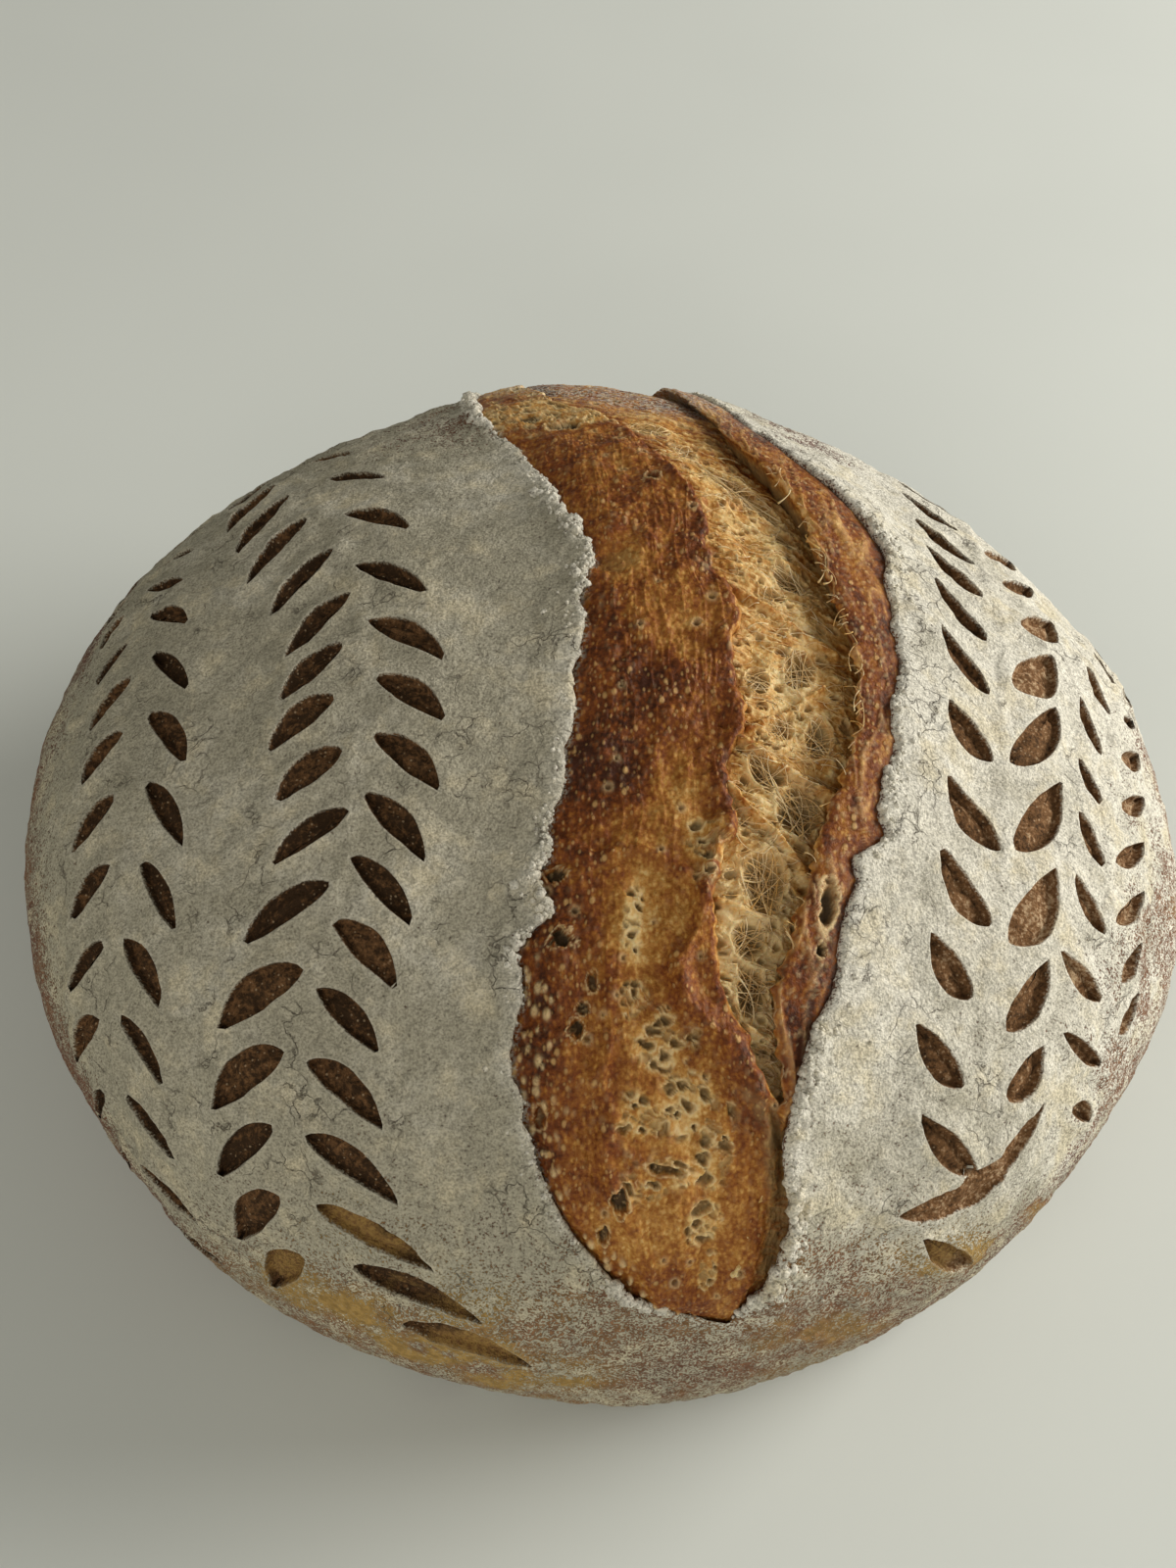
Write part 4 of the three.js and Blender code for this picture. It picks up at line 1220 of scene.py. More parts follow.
def hole_fields(a, b, size, seed, density, widest):
    """Round holes of all sizes: how far in each point lies, from 0 to 1, and how much on a thin rim."""
    nearest, _, chosen = cells(a, b, size, seed)
    radius = widest * (0.4 + 0.6 * chosen)
    there = filled(chosen, seed, 6, density)
    inside = np.where(there, smoothstep(radius, 0.5 * radius, nearest), 0)
    rim = np.where(there, hump(nearest, radius, 0.085), 0)
    return inside, rim


def comb_cells(a, b, size, seed, density):
    """Packed open cells with thin walls: how far in each point lies, and how much on a wall."""
    nearest, second, chosen = cells(a, b, size, seed)
    gap = second - nearest
    there = filled(chosen, seed, 6, density)
    inside = np.where(there, smoothstep(0.1, 0.42, gap), 0)
    return inside, np.where(there, hump(gap, 0, 0.1), 0)


def fibres(a, b, size, seed):
    """Thin ridges that run where noise crosses its middle value: 1 along their tops."""
    return np.clip(1 - np.abs(layers(a, b, size, seed, 2)) / 0.3, 0, 1) ** 1.5


def outward(line_a, line_b, side):
    """Directions square to a line, to its left (side -1) or its right (side 1), evened out along it."""
    weights = np.ones(25) / 25
    run_a, run_b = (np.convolve(np.pad(np.gradient(line), 12, mode="edge"), weights, "valid")
                    for line in (line_a, line_b))
    size = np.hypot(run_a, run_b) + 1e-9
    return side * run_b / size, -side * run_a / size


def bake_tone(a, b, base):
    """The tone of the bare crust, from 0 pale to 1 darkest."""
    tone = base + 0 * a
    for *place, change in BAKE_SPOTS:
        tone += change * spot(a, b, *place)
    return tone + 0.09 * layers(a, b, (6, 9), 91)


def crumb_share(b):
    """Beyond the back end of the brown tongue the whole opening is open crumb."""
    return smoothstep(46, 56, b)


def dusty_back(a, b):
    """The strip of brown, thinly floured crust behind the opening's open crumb."""
    return smoothstep(-7, 7, b + 0.3 * a - 71 + 5 * layers(a, b, (14, 9), 144))


def front_share(b):
    """Towards the front tip the crust reaches the right lip, and the ear and the hollow end."""
    return smoothstep(-82, -92, b)


def crust_sheet():
    """The crust of the opening before its relief: a, b, share across, height, millimetres from the left
    edge, how far each row has merged with the right lip and how far its forms stand up."""
    shares = np.linspace(0, 1, CRUST_ROWS) ** CRUST_ROW_POWER
    left_a, left_b = left_edge(shares)
    right_a, right_b = right_edge(shares)
    ridge_a, b_line = ridge_line(shares)
    open_here = openness(shares)[:, None]
    merged = front_share(b_line)
    out_a, out_b = outward(left_a, left_b, -1)
    under_left, under_right = CRUST_UNDER
    start_a, start_b = left_a + under_left * out_a, left_b + under_left * out_b
    out_a, out_b = outward(right_a, right_b, 1)
    end_a = mix(ridge_a, right_a + under_right * out_a, merged)
    end_b = mix(b_line, right_b + under_right * out_b, merged)
    end_a = np.maximum(end_a, left_a + 0.3)
    merged = merged[:, None]
    across = np.linspace(0, 1, CRUST_COLUMNS)[None, :]
    a = mix(start_a[:, None], end_a[:, None], across)
    b = mix(start_b[:, None], end_b[:, None], across)
    up = lift(shares, b_line)[:, None]
    height = mix(np.interp(across, *CRUST_SECTION), np.interp(across, *FRONT_SECTION), merged) * up
    fold_a, fold_height = np.array(RIDGE_FOLD).T
    a = np.concatenate([a, end_a[:, None] + fold_a * open_here * (1 - merged)], axis=1)
    b = np.concatenate([b, np.repeat(end_b[:, None], len(fold_a), axis=1)], axis=1)
    fold = mix(fold_height, -1.8 - 0.3 * np.arange(len(fold_a)), merged) * up
    height = np.concatenate([height, fold], axis=1) - 0.7 * (1 - open_here)
    across = np.concatenate([across, np.ones((1, len(fold_a)))], axis=1)
    return a, b, across, height, a - left_a[:, None], merged, up


def roped(a, b, relief):
    """The relief with the ropes laid on it, and how they change the tone."""
    tone = 0 * a
    for points, half, high, change in ROPES:
        on = smoothstep(half, 0, line_distance(a, b, points) + 0.8 * noise(a, b, 4, 109))
        relief = relief + high * on
        tone = tone + change * on
    return relief, tone


def crust_cells(a, b):
    """Open cells of two sizes with their rims, and thin webs across them."""
    bend_a = a + 0.8 * noise(a, b, 2.6, 110) + 0.35 * noise(a, b, 1.0, 114)
    bend_b = b + 0.8 * noise(a, b, 2.6, 111) + 0.35 * noise(a, b, 1.0, 115)
    hole, hole_rim = hole_fields(bend_a, bend_b, (3.0, 2.4), 108, 0.75, 0.52)
    small_hole, small_rim = comb_cells(bend_a, bend_b, (1.6, 1.3), 112, 0.5)
    web = fibres(bend_a, bend_b, (1.3, 1.0), 148)
    return hole, hole_rim, small_hole * (1 - hole), small_rim * (1 - hole), web


def crust_blisters(a, b, left_margin):
    """Small blisters everywhere, and large ones in some places and low along the left."""
    small = blister_fields(a, b, (1.3, 1.7), 105, 0.6)
    left_low = left_margin * smoothstep(-62, -74, b)
    many = smoothstep(0.2, 0.6, left_low + 0.45 * noise(a, b, 9, 107))
    return small, blister_fields(a, b, (2.0, 2.9), 106, 0.95) * many


def make_opening_crust(material):
    """From under the left lip, over the brown bulge, to the torn ridge that rolls over its edge."""
    a, b, across, height, from_left, merged, up = crust_sheet()
    crumb = crumb_share(b + 3 * noise(a, b, 6, 100))
    near_ridge = smoothstep(0.86, 0.99, across) * (1 - merged) * (1 - crumb)
    crest = (0.3 + 1.0 * layers(b, 0 * b, 6, 101)) * near_ridge
    groove = merged * smoothstep(0.85, 0.9, across) * smoothstep(0.995, 0.96, across)
    groove = groove * smoothstep(-120, -114, b)
    thread = fibres(a + 0.4 * noise(a, b, 2, 145), b, (4, 1.1), 146) * groove
    relief, rope_tone = roped(a, b, 0.45 * layers(a, b, 6, 104) + 0.25 * layers(a, b, 2.4, 103))
    comb = comb_share(a, b)
    hole, hole_rim, small_hole, small_rim, web = crust_cells(a, b)
    comb_height = comb * (0.3 - 1.3 * hole + 0.2 * hole_rim - 0.5 * small_hole + 0.1 * small_rim)
    deep, rim = pit_fields(a, b)
    sunk = smoothstep(0.7, 1.4, deep)
    streak = fibres(a + 0.1 * b + 0.8 * noise(a, b, 7, 149), b, (1.7, 13), 150) * (1 - comb)
    left_margin = smoothstep(9, 2, from_left)
    calm = (1 - np.clip(deep + comb, 0, 1)) * (1 - crumb)
    small, large = (blisters * calm for blisters in crust_blisters(a, b, left_margin))
    pore, pore_rim = hole_fields(a, b, 4.6, 113, 0.09, 0.18)
    pore, pore_rim = pore * calm, pore_rim * calm
    bumps = 0.16 * small + 0.6 * large - 0.5 * pore + 0.12 * pore_rim + 0.25 * rim + 0.4 * thread
    bumps += 0.22 * streak * calm - deep * (1 - 0.35 * web)
    height = height + up * (crest + relief + comb_height + bumps)
    dusty = dusty_back(a, b)
    tone = bake_tone(a, b, 0.63) + rope_tone + 0.04 * left_margin + 0.09 * crumb * (1 - dusty)
    tone += 0.05 * smoothstep(-88, -104, b) - 0.09 * smoothstep(-4, 16, b) - 0.06 * streak * calm
    tone += comb * (-0.18 - 0.1 * hole_rim) + 0.12 * near_ridge - 0.12 * groove + 0.06 * dusty
    frayed = smoothstep(-0.2, 0.4, noise(b, 0 * b, 3.5, 116))
    torn_edge = smoothstep(0.988, 1.0, across) * (1 - merged)
    tone -= torn_edge * (0.05 + 0.25 * frayed)
    pale_rim = 0.4 * pore_rim + 0.7 * rim + comb * (0.85 * hole_rim + 0.5 * small_rim)
    pale_rim += 0.4 * web * (sunk + comb * hole)
    # Painted shade: the groove beside the right lip is given the membrane's olive, and the pits, open
    # cells, pores and groove are darkened.
    hollow = comb * (0.8 * hole + 0.6 * small_hole) + 0.6 * (groove - thread + sunk)
    hole_shade = (0.95 * sunk + 0.5 * comb * hole**2) * (1 - 0.6 * web) + 0.6 * pore + 0.3 * groove
    fields = {
        "tone": tone,
        "brown": smoothstep(0.5, 0.66, tone) * calm,
        "pale": np.clip(0.08 * small + 0.8 * large, 0, 1),
        "rim": np.clip(pale_rim, 0, 1),
        "hole": np.clip(hollow, 0, 0.92),
        "deep": np.clip(hole_shade, 0, 1),
        "dust": np.maximum(smoothstep(1.8, 0.2, from_left) * 0.8, 0.5 * dusty),
    }
    # Two pieces that meet along one row.
    points = crust_points(a, b, height)
    middle = CRUST_ROWS // 2
    halves = {"opening_crust_front": slice(0, middle + 1), "opening_crust_back": slice(middle, None)}
    for name, rows in halves.items():
        part = {field: values[rows] for field, values in fields.items()}
        make_piece(name, points[rows], grid_faces(*part["tone"].shape), part, material)


def line_at(line, b):
    """Where one of the opening's lines lies along a, at each b."""
    line_a, line_b = line(np.linspace(0, 1, LINE_STEPS))
    return np.interp(b, line_b, line_a)


def share_at(b):
    """The share of the opening's length at each b."""
    shares = np.linspace(0, 1, LINE_STEPS)
    return np.interp(b, rib(shares)[0], shares)


def window_fields(a, b):
    """Depth of the windows, how much each point is on a window's rim, and the fibres round its inside."""
    window, rim, spokes = 0 * a, 0 * a, 0 * a
    wobble = 0.2 * noise(a, b, 2.2, 130)
    for number, (at_a, at_b, half_a, half_b, turn, deep) in enumerate(WINDOWS):
        out = oval(a, b, at_a, at_b, half_a, half_b, turn) + wobble
        window = np.maximum(window, deep * smoothstep(1.1, 0.35, out))
        rim = np.maximum(rim, hump(out, 1.1, 0.12))
        angle = np.arctan2((b - at_b) * half_a, (a - at_a) * half_b)
        ray = fibres(angle * 5 + number * 9, out, (0.8, 1.6), 131)
        spokes = np.where(out < 1.15, ray * smoothstep(0.45, 0.95, out), spokes)
    return window, rim, spokes


def strut_fields(a, b):
    """How much each point is on a strut, and how high the struts stand there."""
    strut, rise = 0 * a, 0 * a
    wobble = 0.25 * noise(a, b, 1.4, 133)
    for start, end, half, high in STRUTS:
        middle = ((start[0] + end[0]) / 2 + 0.6, (start[1] + end[1]) / 2 - 0.8)
        on = smoothstep(half, 0.1 * half, line_distance(a, b, [start, middle, end]) + wobble)
        strut = np.maximum(strut, on)
        rise = np.maximum(rise, on * high)
    return strut, rise


def hollow_form(a, b):
    """The hollow between the ridge and the ear at any place: the height of its bed, and what the
    material needs to know of its fibres, windows and struts."""
    shares = share_at(b)
    ridge_a = line_at(ridge_line, b)
    ear_a = line_at(ear_line, b)
    gap = smoothstep(0.5, 6, ear_a - ridge_a)
    under_ridge, under_ear = CRUMB_UNDER
    breadth = np.maximum(ear_a - ridge_a + under_ridge + under_ear, 1)
    across = np.clip((a - ridge_a + under_ridge) / breadth, 0, 1)
    bend_a = a + 1.2 * noise(a, b, 6, 121) + 0.3 * noise(a, b, 1.8, 127)
    bend_b = b + 1.4 * noise(a, b, 7, 128) + 0.3 * noise(a, b, 2.2, 129)
    drawn = fibres(bend_a, bend_b + 0.25 * a, (9, 1.9), 122)
    fine_drawn = fibres(bend_a, bend_b - 0.15 * a, (5, 0.8), 124)
    small_hole, small_rim = hole_fields(bend_a, bend_b, (3.2, 2.4), 134, 0.6, 0.42)
    window, window_rim, spokes = window_fields(a, b)
    strut, strut_lift = strut_fields(a, b)
    in_window = smoothstep(0.25, 0.8, window) * (1 - strut)
    calm = 1 - in_window
    relief = calm * (0.55 * drawn + 0.25 * fine_drawn - 0.8 * small_hole + 0.2 * small_rim - 0.2)
    relief += (0.5 + 0.5 * calm) * 0.8 * layers(a, b, (6, 5), 125, 2)
    relief += in_window * 0.16 * spokes + 0.4 * window_rim - 1.1 * window * (1 - 0.7 * strut) + strut_lift
    height = (np.interp(across, *HOLLOW_SECTION) + relief * mix(0.4, 1.0, gap)) * lift(shares, b)
    return {
        "height": height, "across": across, "drawn": drawn, "fine_drawn": fine_drawn,
        "small_hole": small_hole * calm, "small_rim": small_rim * calm, "in_window": in_window,
        "window": window, "window_rim": window_rim, "spokes": spokes * in_window, "strut": strut,
    }


def make_opening_crumb(material):
    """The hollow between the ridge and the ear: stretched crumb with thin windows between its walls."""
    shares = np.linspace(*CRUMB_REACH, CRUMB_ROWS)
    ridge_a, b_line = ridge_line(shares)
    ear_a, _ = ear_line(shares)
    open_here = openness(shares)
    under_ridge, under_ear = CRUMB_UNDER
    from_a = ridge_a - under_ridge * open_here
    to_a = np.maximum(ear_a, ridge_a) + under_ear * open_here
    a = mix(from_a[:, None], to_a[:, None], np.linspace(0, 1, CRUMB_COLUMNS)[None, :])
    b = np.repeat(b_line[:, None], CRUMB_COLUMNS, axis=1)
    form = hollow_form(a, b)
    height, across, in_window = form["height"], form["across"], form["in_window"]
    # deep marks the lowest part of the hollow, next to the ear, which is painted darker and less pale:
    # painted shade.
    deep = smoothstep(-2.6, -5.5, height)
    dusty = dusty_back(a, b)
    tone = 0.30 - 0.20 * form["drawn"] - 0.10 * form["fine_drawn"] - 0.06 * form["small_rim"]
    tone += 0.12 * layers(a, b, 6, 126) + 0.14 * form["strut"] - 0.22 * smoothstep(-40, -55, b)
    tone += 0.16 * smoothstep(0.3, 0.1, across) - 0.10 * hump(across, 0.5, 0.16)
    # Darker towards the ear: partly the crust's orange underside, partly painted shade.
    tone += 0.08 * smoothstep(0.6, 0.95, across) + 0.2 * smoothstep(30, 50, b) + 0.3 * dusty
    hole = in_window * (0.92 - 0.6 * form["spokes"]) + 0.5 * form["small_hole"]
    rim = 0.5 * form["window_rim"] + 0.3 * form["small_rim"] + 0.5 * form["spokes"]
    shade = 0.22 * smoothstep(1.6, 2.6, form["window"]) * in_window * (1 - form["spokes"])
    fields = {
        "tone": tone,
        "brown": 0 * tone,
        "pale": np.clip(0.25 * form["drawn"] * (1 - in_window), 0, 1) * (1 - deep),
        "rim": np.clip(rim, 0, 1) * (1 - deep),
        "hole": np.clip(hole, 0, 0.9),
        "deep": np.clip(0.2 * deep + 0.15 * form["small_hole"] + shade, 0, 1),
        "dust": 0.5 * dusty,
    }
    points = crust_points(a, b, height)
    make_piece("opening_crumb", points, grid_faces(*a.shape), fields, material)


# The ear's section: share of the way from the ear line to the right edge, shift along a and height.
EAR_SECTION = [
    (0, 3.8, -5.4), (0, 2.6, -3.2), (0, 1.2, -0.6), (0, 0.2, 1.1), (0, -0.2, 2.0), (0, 0.1, 2.7),
    (0.08, 0.2, 3.0), (0.3, 0, 3.0), (0.6, 0, 2.8), (0.85, 0, 2.2), (1, 0.6, 1.2), (1, 2.4, -0.6),
]
# How far along the section the torn edge is, and how wide it is there.
EAR_EDGE = 0.38
EAR_EDGE_SPREAD = 0.05
# Pits in the ear: a, b, half sizes along a and b.
EAR_PITS = [(37.8, -54.4, 1.6, 4.0), (37, -62, 0.8, 1.2)]


def make_ear(material):
    """The band of crust right of the hollow, from deep under its thin torn edge to under the lip."""
    shares = np.linspace(*EAR_REACH, EAR_ROWS)
    ear_a, b_line = ear_line(shares)
    right_a, _ = right_edge(shares)
    open_here = openness(shares)[:, None]
    up = lift(shares, b_line)[:, None]
    section = along_curve(EAR_SECTION, np.linspace(0, 1, EAR_COLUMNS))
    ear_a = np.minimum(ear_a, right_a)[:, None]
    share, shift, height = (section[None, :, i] for i in range(3))
    a = mix(ear_a, right_a[:, None], share) + shift * open_here
    b = np.repeat(b_line[:, None], EAR_COLUMNS, axis=1)
    # Towards the front the ear sinks away.
    lowered = 5.0 * front_share(b + 3)
    top = smoothstep(2.0, 2.9, height)
    edge = hump(np.arange(EAR_COLUMNS) / (EAR_COLUMNS - 1), EAR_EDGE, EAR_EDGE_SPREAD)[None, :]
    frayed = layers(b, a, (1.4, 4), 135) * edge
    small = blister_fields(a, b, (1.1, 1.5), 136, 0.5) * top
    lean = a + 0.1 * b + 1.2 * noise(a, b, 9, 137)
    flakes = fibres(lean, b, (2.2, 14), 138)
    swell = 0.6 * layers(b, 0 * b, 9, 139)
    depth, rim = 0 * a, 0 * a
    for pit in EAR_PITS:
        out = oval(a, b, *pit) + 0.3 * noise(a, b, 1.2, 140)
        depth = np.maximum(depth, 1.6 * smoothstep(1.0, 0.5, out))
        rim = np.maximum(rim, smoothstep(0.75, 1.0, out) * smoothstep(1.4, 1.1, out))
    flaky = 0.35 + 0.35 * smoothstep(5, 30, b)
    height = height + (swell + flaky * flakes + 0.15 * small) * top + 0.8 * frayed - depth + 0.2 * rim
    height = height * up - lowered
    points = crust_points(a + 0.5 * frayed * open_here, b, height)
    dusty = dusty_back(a, b)
    tone = 0.65 - 0.18 * flakes + 0.15 * layers(lean, b, (2.4, 15), 141)
    shaded = 0.10 + 0.16 * smoothstep(-35, -50, b)
    tone += shaded * smoothstep(0.4, 0.9, share) + 0.08 * smoothstep(-48, -70, b)
    tone -= 0.2 * edge * smoothstep(-80, -60, b)
    tone = np.where(height < 0.5, tone - 0.1, tone)
    under = smoothstep(1.5, -2.0, height + lowered) * (share < 0.5)
    fields = {
        "tone": tone,
        "brown": smoothstep(0.5, 0.66, tone) * top * smoothstep(-75, -50, b),
        "pale": np.clip(0.35 * small + 0.3 * flakes * top, 0, 1),
        "rim": np.clip(0.7 * edge * smoothstep(-0.4, 0.4, frayed) + 0.8 * rim, 0, 1),
        "hole": np.clip(0.6 * under + 0.5 * depth, 0, 0.9),
        # Painted shade in the ear's pits.
        "deep": np.clip(0.6 * depth, 0, 1),
        "dust": np.maximum(0.1 * smoothstep(0.7, 1.0, share), 0.5 * dusty),
    }
    make_piece("opening_ear", points, grid_faces(*a.shape), fields, material)


# Strands of stretched crumb.
STRAND_STEPS = 7
STRAND_SIDES = 4
STRANDS_EACH_WAY = 3.2
LOOSE_STRANDS = 640
EDGE_HOOKS = 60
STRAND_SEED = 23


def strand_ends(generator):
    """Where each strand starts and ends on the sheet: across the windows, loose over the hollow, and
    as hooks that curl off the ear's torn edge."""
    starts, ends = [], []
    for at_a, at_b, half_a, half_b, turn, _ in WINDOWS:
        count = int(STRANDS_EACH_WAY * (half_a + half_b))
        angle = generator.uniform(0, 2 * math.pi, count)
        cosine, sine = math.cos(math.radians(turn)), math.sin(math.radians(turn))
        far_angle = angle + generator.normal(math.pi, 0.9, count)
        far_reach = generator.uniform(0.3, 1.1, count)
        for made, way, reach in ((starts, angle, 1.15), (ends, far_angle, far_reach)):
            x, y = half_a * reach * np.cos(way), half_b * reach * np.sin(way)
            made.append(np.stack([at_a + x * cosine - y * sine, at_b + x * sine + y * cosine], axis=1))
    b = generator.uniform(-86, 52, LOOSE_STRANDS)
    ridge_a, ear_a = line_at(ridge_line, b), line_at(ear_line, b)
    a = mix(ridge_a, ear_a, generator.uniform(-0.02, 0.85, LOOSE_STRANDS))
    length = np.minimum(generator.uniform(1.5, 6, LOOSE_STRANDS), 0.5 * (ear_a - ridge_a))
    slant = generator.normal(0, 0.4, LOOSE_STRANDS)
    starts.append(np.stack([a, b], axis=1))
    ends.append(np.stack([a + length * np.cos(slant), b + length * np.sin(slant)], axis=1))
    b = generator.uniform(-70, 45, EDGE_HOOKS)
    a = line_at(ear_line, b)
    out = generator.uniform(0.2, 2.0, EDGE_HOOKS)
    starts.append(np.stack([a + 0.3, b], axis=1))
    ends.append(np.stack([a - out, b + generator.normal(0, 3.0, EDGE_HOOKS)], axis=1))
    return np.concatenate(starts), np.concatenate(ends)


def make_strands(material):
    """Fine strands, thicker at their roots, bowed sideways and standing a little off the bed."""
    generator = np.random.default_rng(STRAND_SEED)
    starts, ends = strand_ends(generator)
    count = len(starts)
    t = np.linspace(0, 1, STRAND_STEPS)[None, :]
    arch = 4 * t * (1 - t)
    run = ends - starts
    length = np.hypot(run[:, 0], run[:, 1])
    bow = generator.normal(0, 0.12, count) * length
    a = starts[:, :1] + run[:, :1] * t - (bow * run[:, 1] / length)[:, None] * arch
    b = starts[:, 1:] + run[:, 1:] * t + (bow * run[:, 0] / length)[:, None] * arch
    bed = hollow_form(a, b)["height"]
    hook = np.arange(count) >= count - EDGE_HOOKS
    root = np.where(hook, 2.6, bed[:, 0]) * np.where(hook, lift(share_at(b[:, 0]), b[:, 0]), 1)
    tip = np.where(hook, root - generator.uniform(-0.6, 1.6, count), bed[:, -1])
    rise = generator.uniform(-0.1, 0.7, count)
    height = np.maximum(mix(root[:, None], tip[:, None], t) + rise[:, None] * arch, bed - 0.05)
    middle = crust_points(a, b, height)
    along_strand = np.gradient(middle, axis=1)
    along_strand /= np.linalg.norm(along_strand, axis=-1, keepdims=True) + 1e-9
    side = np.cross(along_strand, dome_normal(a, b))
    side /= np.linalg.norm(side, axis=-1, keepdims=True) + 1e-9
    up = np.cross(side, along_strand)
    thick = generator.uniform(0.05, 0.1, count) * (1 + 0.8 * (generator.random(count) < 0.1))
    radius = thick[:, None] * (0.6 + 1.2 * np.abs(2 * t - 1) ** 2)
    rings = []
    for corner in range(STRAND_SIDES):
        angle = 2 * math.pi * corner / STRAND_SIDES
        rings.append(middle + radius[..., None] * (math.cos(angle) * side + math.sin(angle) * up))
    points = np.stack(rings, axis=2)
    index = np.arange(count * STRAND_STEPS * STRAND_SIDES).reshape(count, STRAND_STEPS, STRAND_SIDES)
    faces = np.concatenate([ring_faces(index), index[:, 0, ::-1], index[:, -1, :]])
    gold = np.repeat(generator.random(count), STRAND_STEPS * STRAND_SIDES)
    make_piece("crumb_strands", points, faces, {"gold": gold}, material)


# Clumps of flour and crust along the torn edges: how many on each, their corners and their flour.
CLUMP_COUNT = 1000
CLUMP_CORNERS = 12
CLUMP_FLOUR = 0.9
CLUMP_SEED = 31


def lump():
    """Corners and faces of an icosahedron, the plain form of a clump."""
    golden = (1 + math.sqrt(5)) / 2
    corners = []
    for first in (-1, 1):
        for second in (-golden, golden):
            corners += [(0, first, second), (first, second, 0), (second, 0, first)]
    corners = np.array(corners) / math.hypot(1, golden)
    faces = []
    numbers = range(CLUMP_CORNERS)
    for i in numbers:
        for j in numbers:
            for k in numbers:
                sides = [np.linalg.norm(corners[p] - corners[q]) for p, q in ((i, j), (j, k), (k, i))]
                facing = np.dot(np.cross(corners[j] - corners[i], corners[k] - corners[i]), corners[i])
                if i < j and i < k and max(sides) < 1.1 and facing > 0:
                    faces.append((i, j, k))
    return corners, np.array(faces)


def make_clumps(material):
    """Small uneven lumps that sit on the edges of the skin."""
    generator = np.random.default_rng(CLUMP_SEED)
    corners, faces = lump()
    clumps = []
    for edge, side in ((LEFT_EDGE, -1), (RIGHT_EDGE, 1)):
        shares = generator.uniform(0.03, 0.93, 3 * CLUMP_COUNT)
        crumbly = crumbliness(*edge.line(shares))
        shares = generator.choice(shares, CLUMP_COUNT, replace=False, p=crumbly / crumbly.sum())
        a, b = edge.line(shares)
        size = generator.uniform(0.18, 0.4, CLUMP_COUNT) * (0.7 + 0.7 * crumbliness(a, b))
        size = size * (1 + 1.8 * generator.random(CLUMP_COUNT) ** 6)
        away = generator.exponential(0.9, CLUMP_COUNT) - 0.5
        a = a + side * away
        height = skin_height(edge, a, b, 0 * a + FAR) - 0.15 * size - np.where(away < 0, 0.5, 0)
        place = crust_points(a, b, height)
        stretch = generator.uniform(0.7, 1.25, (CLUMP_COUNT, CLUMP_CORNERS, 3))
        clumps.append(place[:, None, :] + corners[None] * size[:, None, None] * stretch)
    points = np.concatenate(clumps)
    flour = np.full(points.shape[:2], CLUMP_FLOUR)
    fields = plain_fields(flour, flour - 0.1)
    faces = CLUMP_CORNERS * np.arange(len(points))[:, None, None] + faces[None]
    make_piece("flour_clumps", points, faces.reshape(-1, 3), fields, material)


def make_base(material):
    """The flat underside."""
    angles = np.linspace(-math.pi, math.pi, 2 * SKIN_ROWS - 1)[:, None]
    rings = np.linspace(0.0005, 1, BASE_RINGS)[None, :]
    rim = dome(RIM * np.cos(angles), RIM * np.sin(angles))
    points = rim * rings[..., None]
    points[..., 2] = 0
    flour = 0.3 + 0.3 * layers(points[..., 0], points[..., 1], 30, 142)
    fields = plain_fields(flour, flour)
    make_piece("base_crust", points, grid_faces(*flour.shape, True), fields, material)


# Stage, light and camera. The floor lies a little under the base, in metres.
FLOOR_HALF = 8.0
FLOOR_Z = -0.0002


def make_floor():
    turns = [(-1, -1), (1, -1), (1, 1), (-1, 1)]
    corners = [(x * FLOOR_HALF, y * FLOOR_HALF, FLOOR_Z) for x, y in turns]
    mesh = bpy.data.meshes.new("floor")
    mesh.from_pydata(corners, [], [(0, 1, 2, 3)])
    mesh.materials.append(floor_material())
    floor = bpy.data.objects.new("floor", mesh)
    bpy.context.scene.collection.objects.link(floor)


# Lights: name, place in metres, size in metres, watts and colour.
LIGHTS = [
    ("key", (1.14, 0.38, 0.48), 0.9, 20.0, (1.0, 0.975, 0.93)),
    ("fill", (-0.5, -1.1, 0.85), 1.2, 5.0, (1.0, 0.96, 0.88)),
    ("front", (0.15, -1.25, 0.3), 1.0, 2.0, (1.0, 0.95, 0.9)),
]
LIGHT_AIM = (0, 0, 0.05)
WORLD_COLOUR = (0.92, 0.90, 0.80)
WORLD_STRENGTH = 0.25


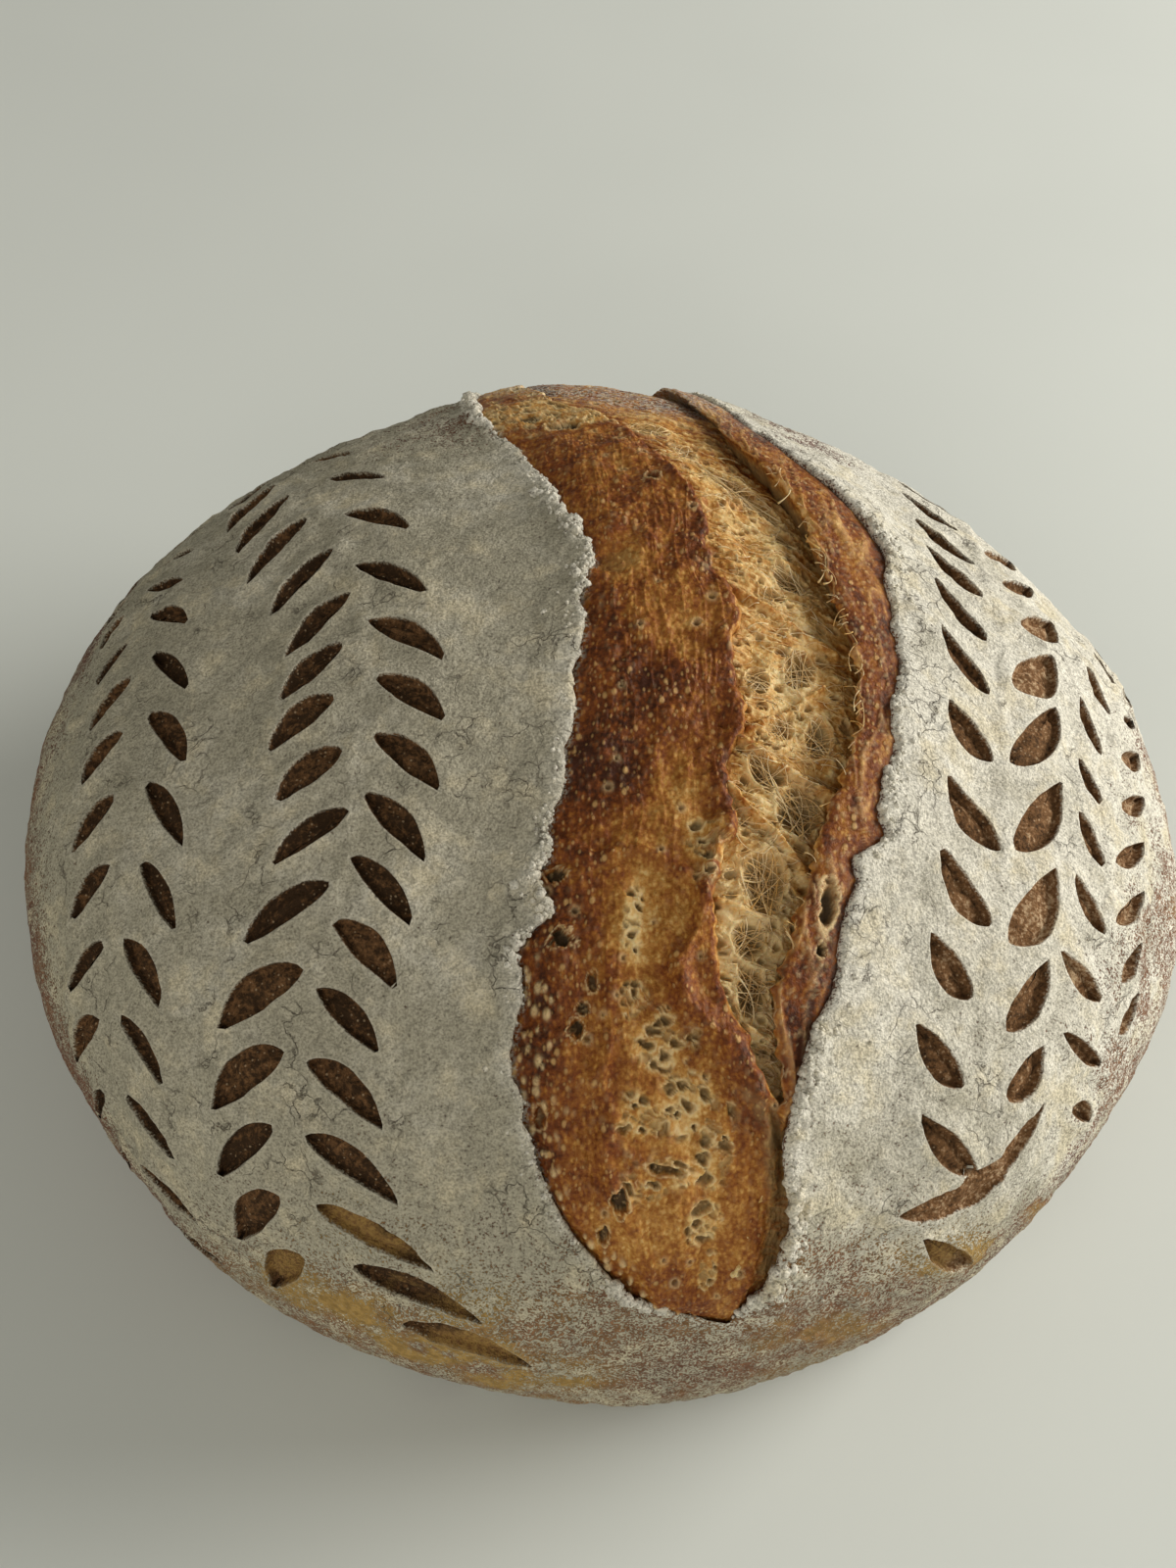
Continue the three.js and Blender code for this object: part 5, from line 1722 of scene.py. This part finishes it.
def make_lights():
    for name, place, size, watts, colour in LIGHTS:
        data = bpy.data.lights.new(name, "AREA")
        data.shape = "DISK"
        data.size = size
        data.energy = watts
        data.color = colour
        light = bpy.data.objects.new(name, data)
        light.location = place
        beam = Vector(LIGHT_AIM) - Vector(place)
        light.rotation_euler = beam.to_track_quat("-Z", "Y").to_euler()
        bpy.context.scene.collection.objects.link(light)
    world = bpy.data.worlds.new("soft_room")
    world.use_nodes = True
    background = world.node_tree.nodes["Background"]
    background.inputs["Color"].default_value = (*WORLD_COLOUR, 1)
    background.inputs["Strength"].default_value = WORLD_STRENGTH
    bpy.context.scene.world = world
    bpy.context.scene.view_settings.view_transform = "Standard"


def make_camera():
    """The camera looks down on the front of the loaf, with the target at its place in the picture."""
    elevation = math.radians(VIEW_ELEVATION)
    roll = math.radians(VIEW_ROLL)
    back = Vector((0, -math.cos(elevation), math.sin(elevation)))
    right = Vector((1, 0, 0))
    up = back.cross(right)
    turned_right = math.cos(roll) * right + math.sin(roll) * up
    turned_up = math.cos(roll) * up - math.sin(roll) * right
    focal = LENS / SENSOR * FRAME_PIXELS[1]
    aside = (TARGET_PIXEL[0] - FRAME_PIXELS[0] / 2) / focal * VIEW_DISTANCE
    below = (FRAME_PIXELS[1] / 2 - TARGET_PIXEL[1]) / focal * VIEW_DISTANCE
    place = Vector(TARGET) - aside * turned_right - below * turned_up + VIEW_DISTANCE * back
    data = bpy.data.cameras.new("camera")
    data.lens = LENS
    data.sensor_width = SENSOR
    data.clip_start = NEAREST_SEEN
    camera = bpy.data.objects.new("camera", data)
    turn = Matrix((turned_right, turned_up, back)).transposed()
    camera.matrix_world = Matrix.Translation(place * MM) @ turn.to_4x4()
    bpy.context.scene.collection.objects.link(camera)
    bpy.context.scene.camera = camera


def build():
    floured = floured_material()
    opening = opening_material()
    front, back = (math.atan2(*OPENING_RIBS[end, :2]) for end in (0, -1))
    make_skin("crust_left", LEFT_EDGE, LEFT_TUCK, front, back - 2 * math.pi, 0.8, True, floured)
    make_skin("crust_right", RIGHT_EDGE, RIGHT_TUCK, front, back, 0.45, False, floured)
    left_cuts = [number for number, leaf in enumerate(LEAVES) if leaf[0] < 0]
    right_cuts = [number for number, leaf in enumerate(LEAVES) if leaf[0] > 0]
    make_cuts("leaf_cuts_left", LEFT_EDGE, left_cuts, floured)
    make_cuts("leaf_cuts_right", RIGHT_EDGE, right_cuts, floured)
    make_opening_crust(opening)
    make_opening_crumb(opening)
    make_ear(opening)
    make_strands(fibre_material())
    make_clumps(floured)
    make_base(floured)


make_camera()
make_floor()
make_lights()
build()
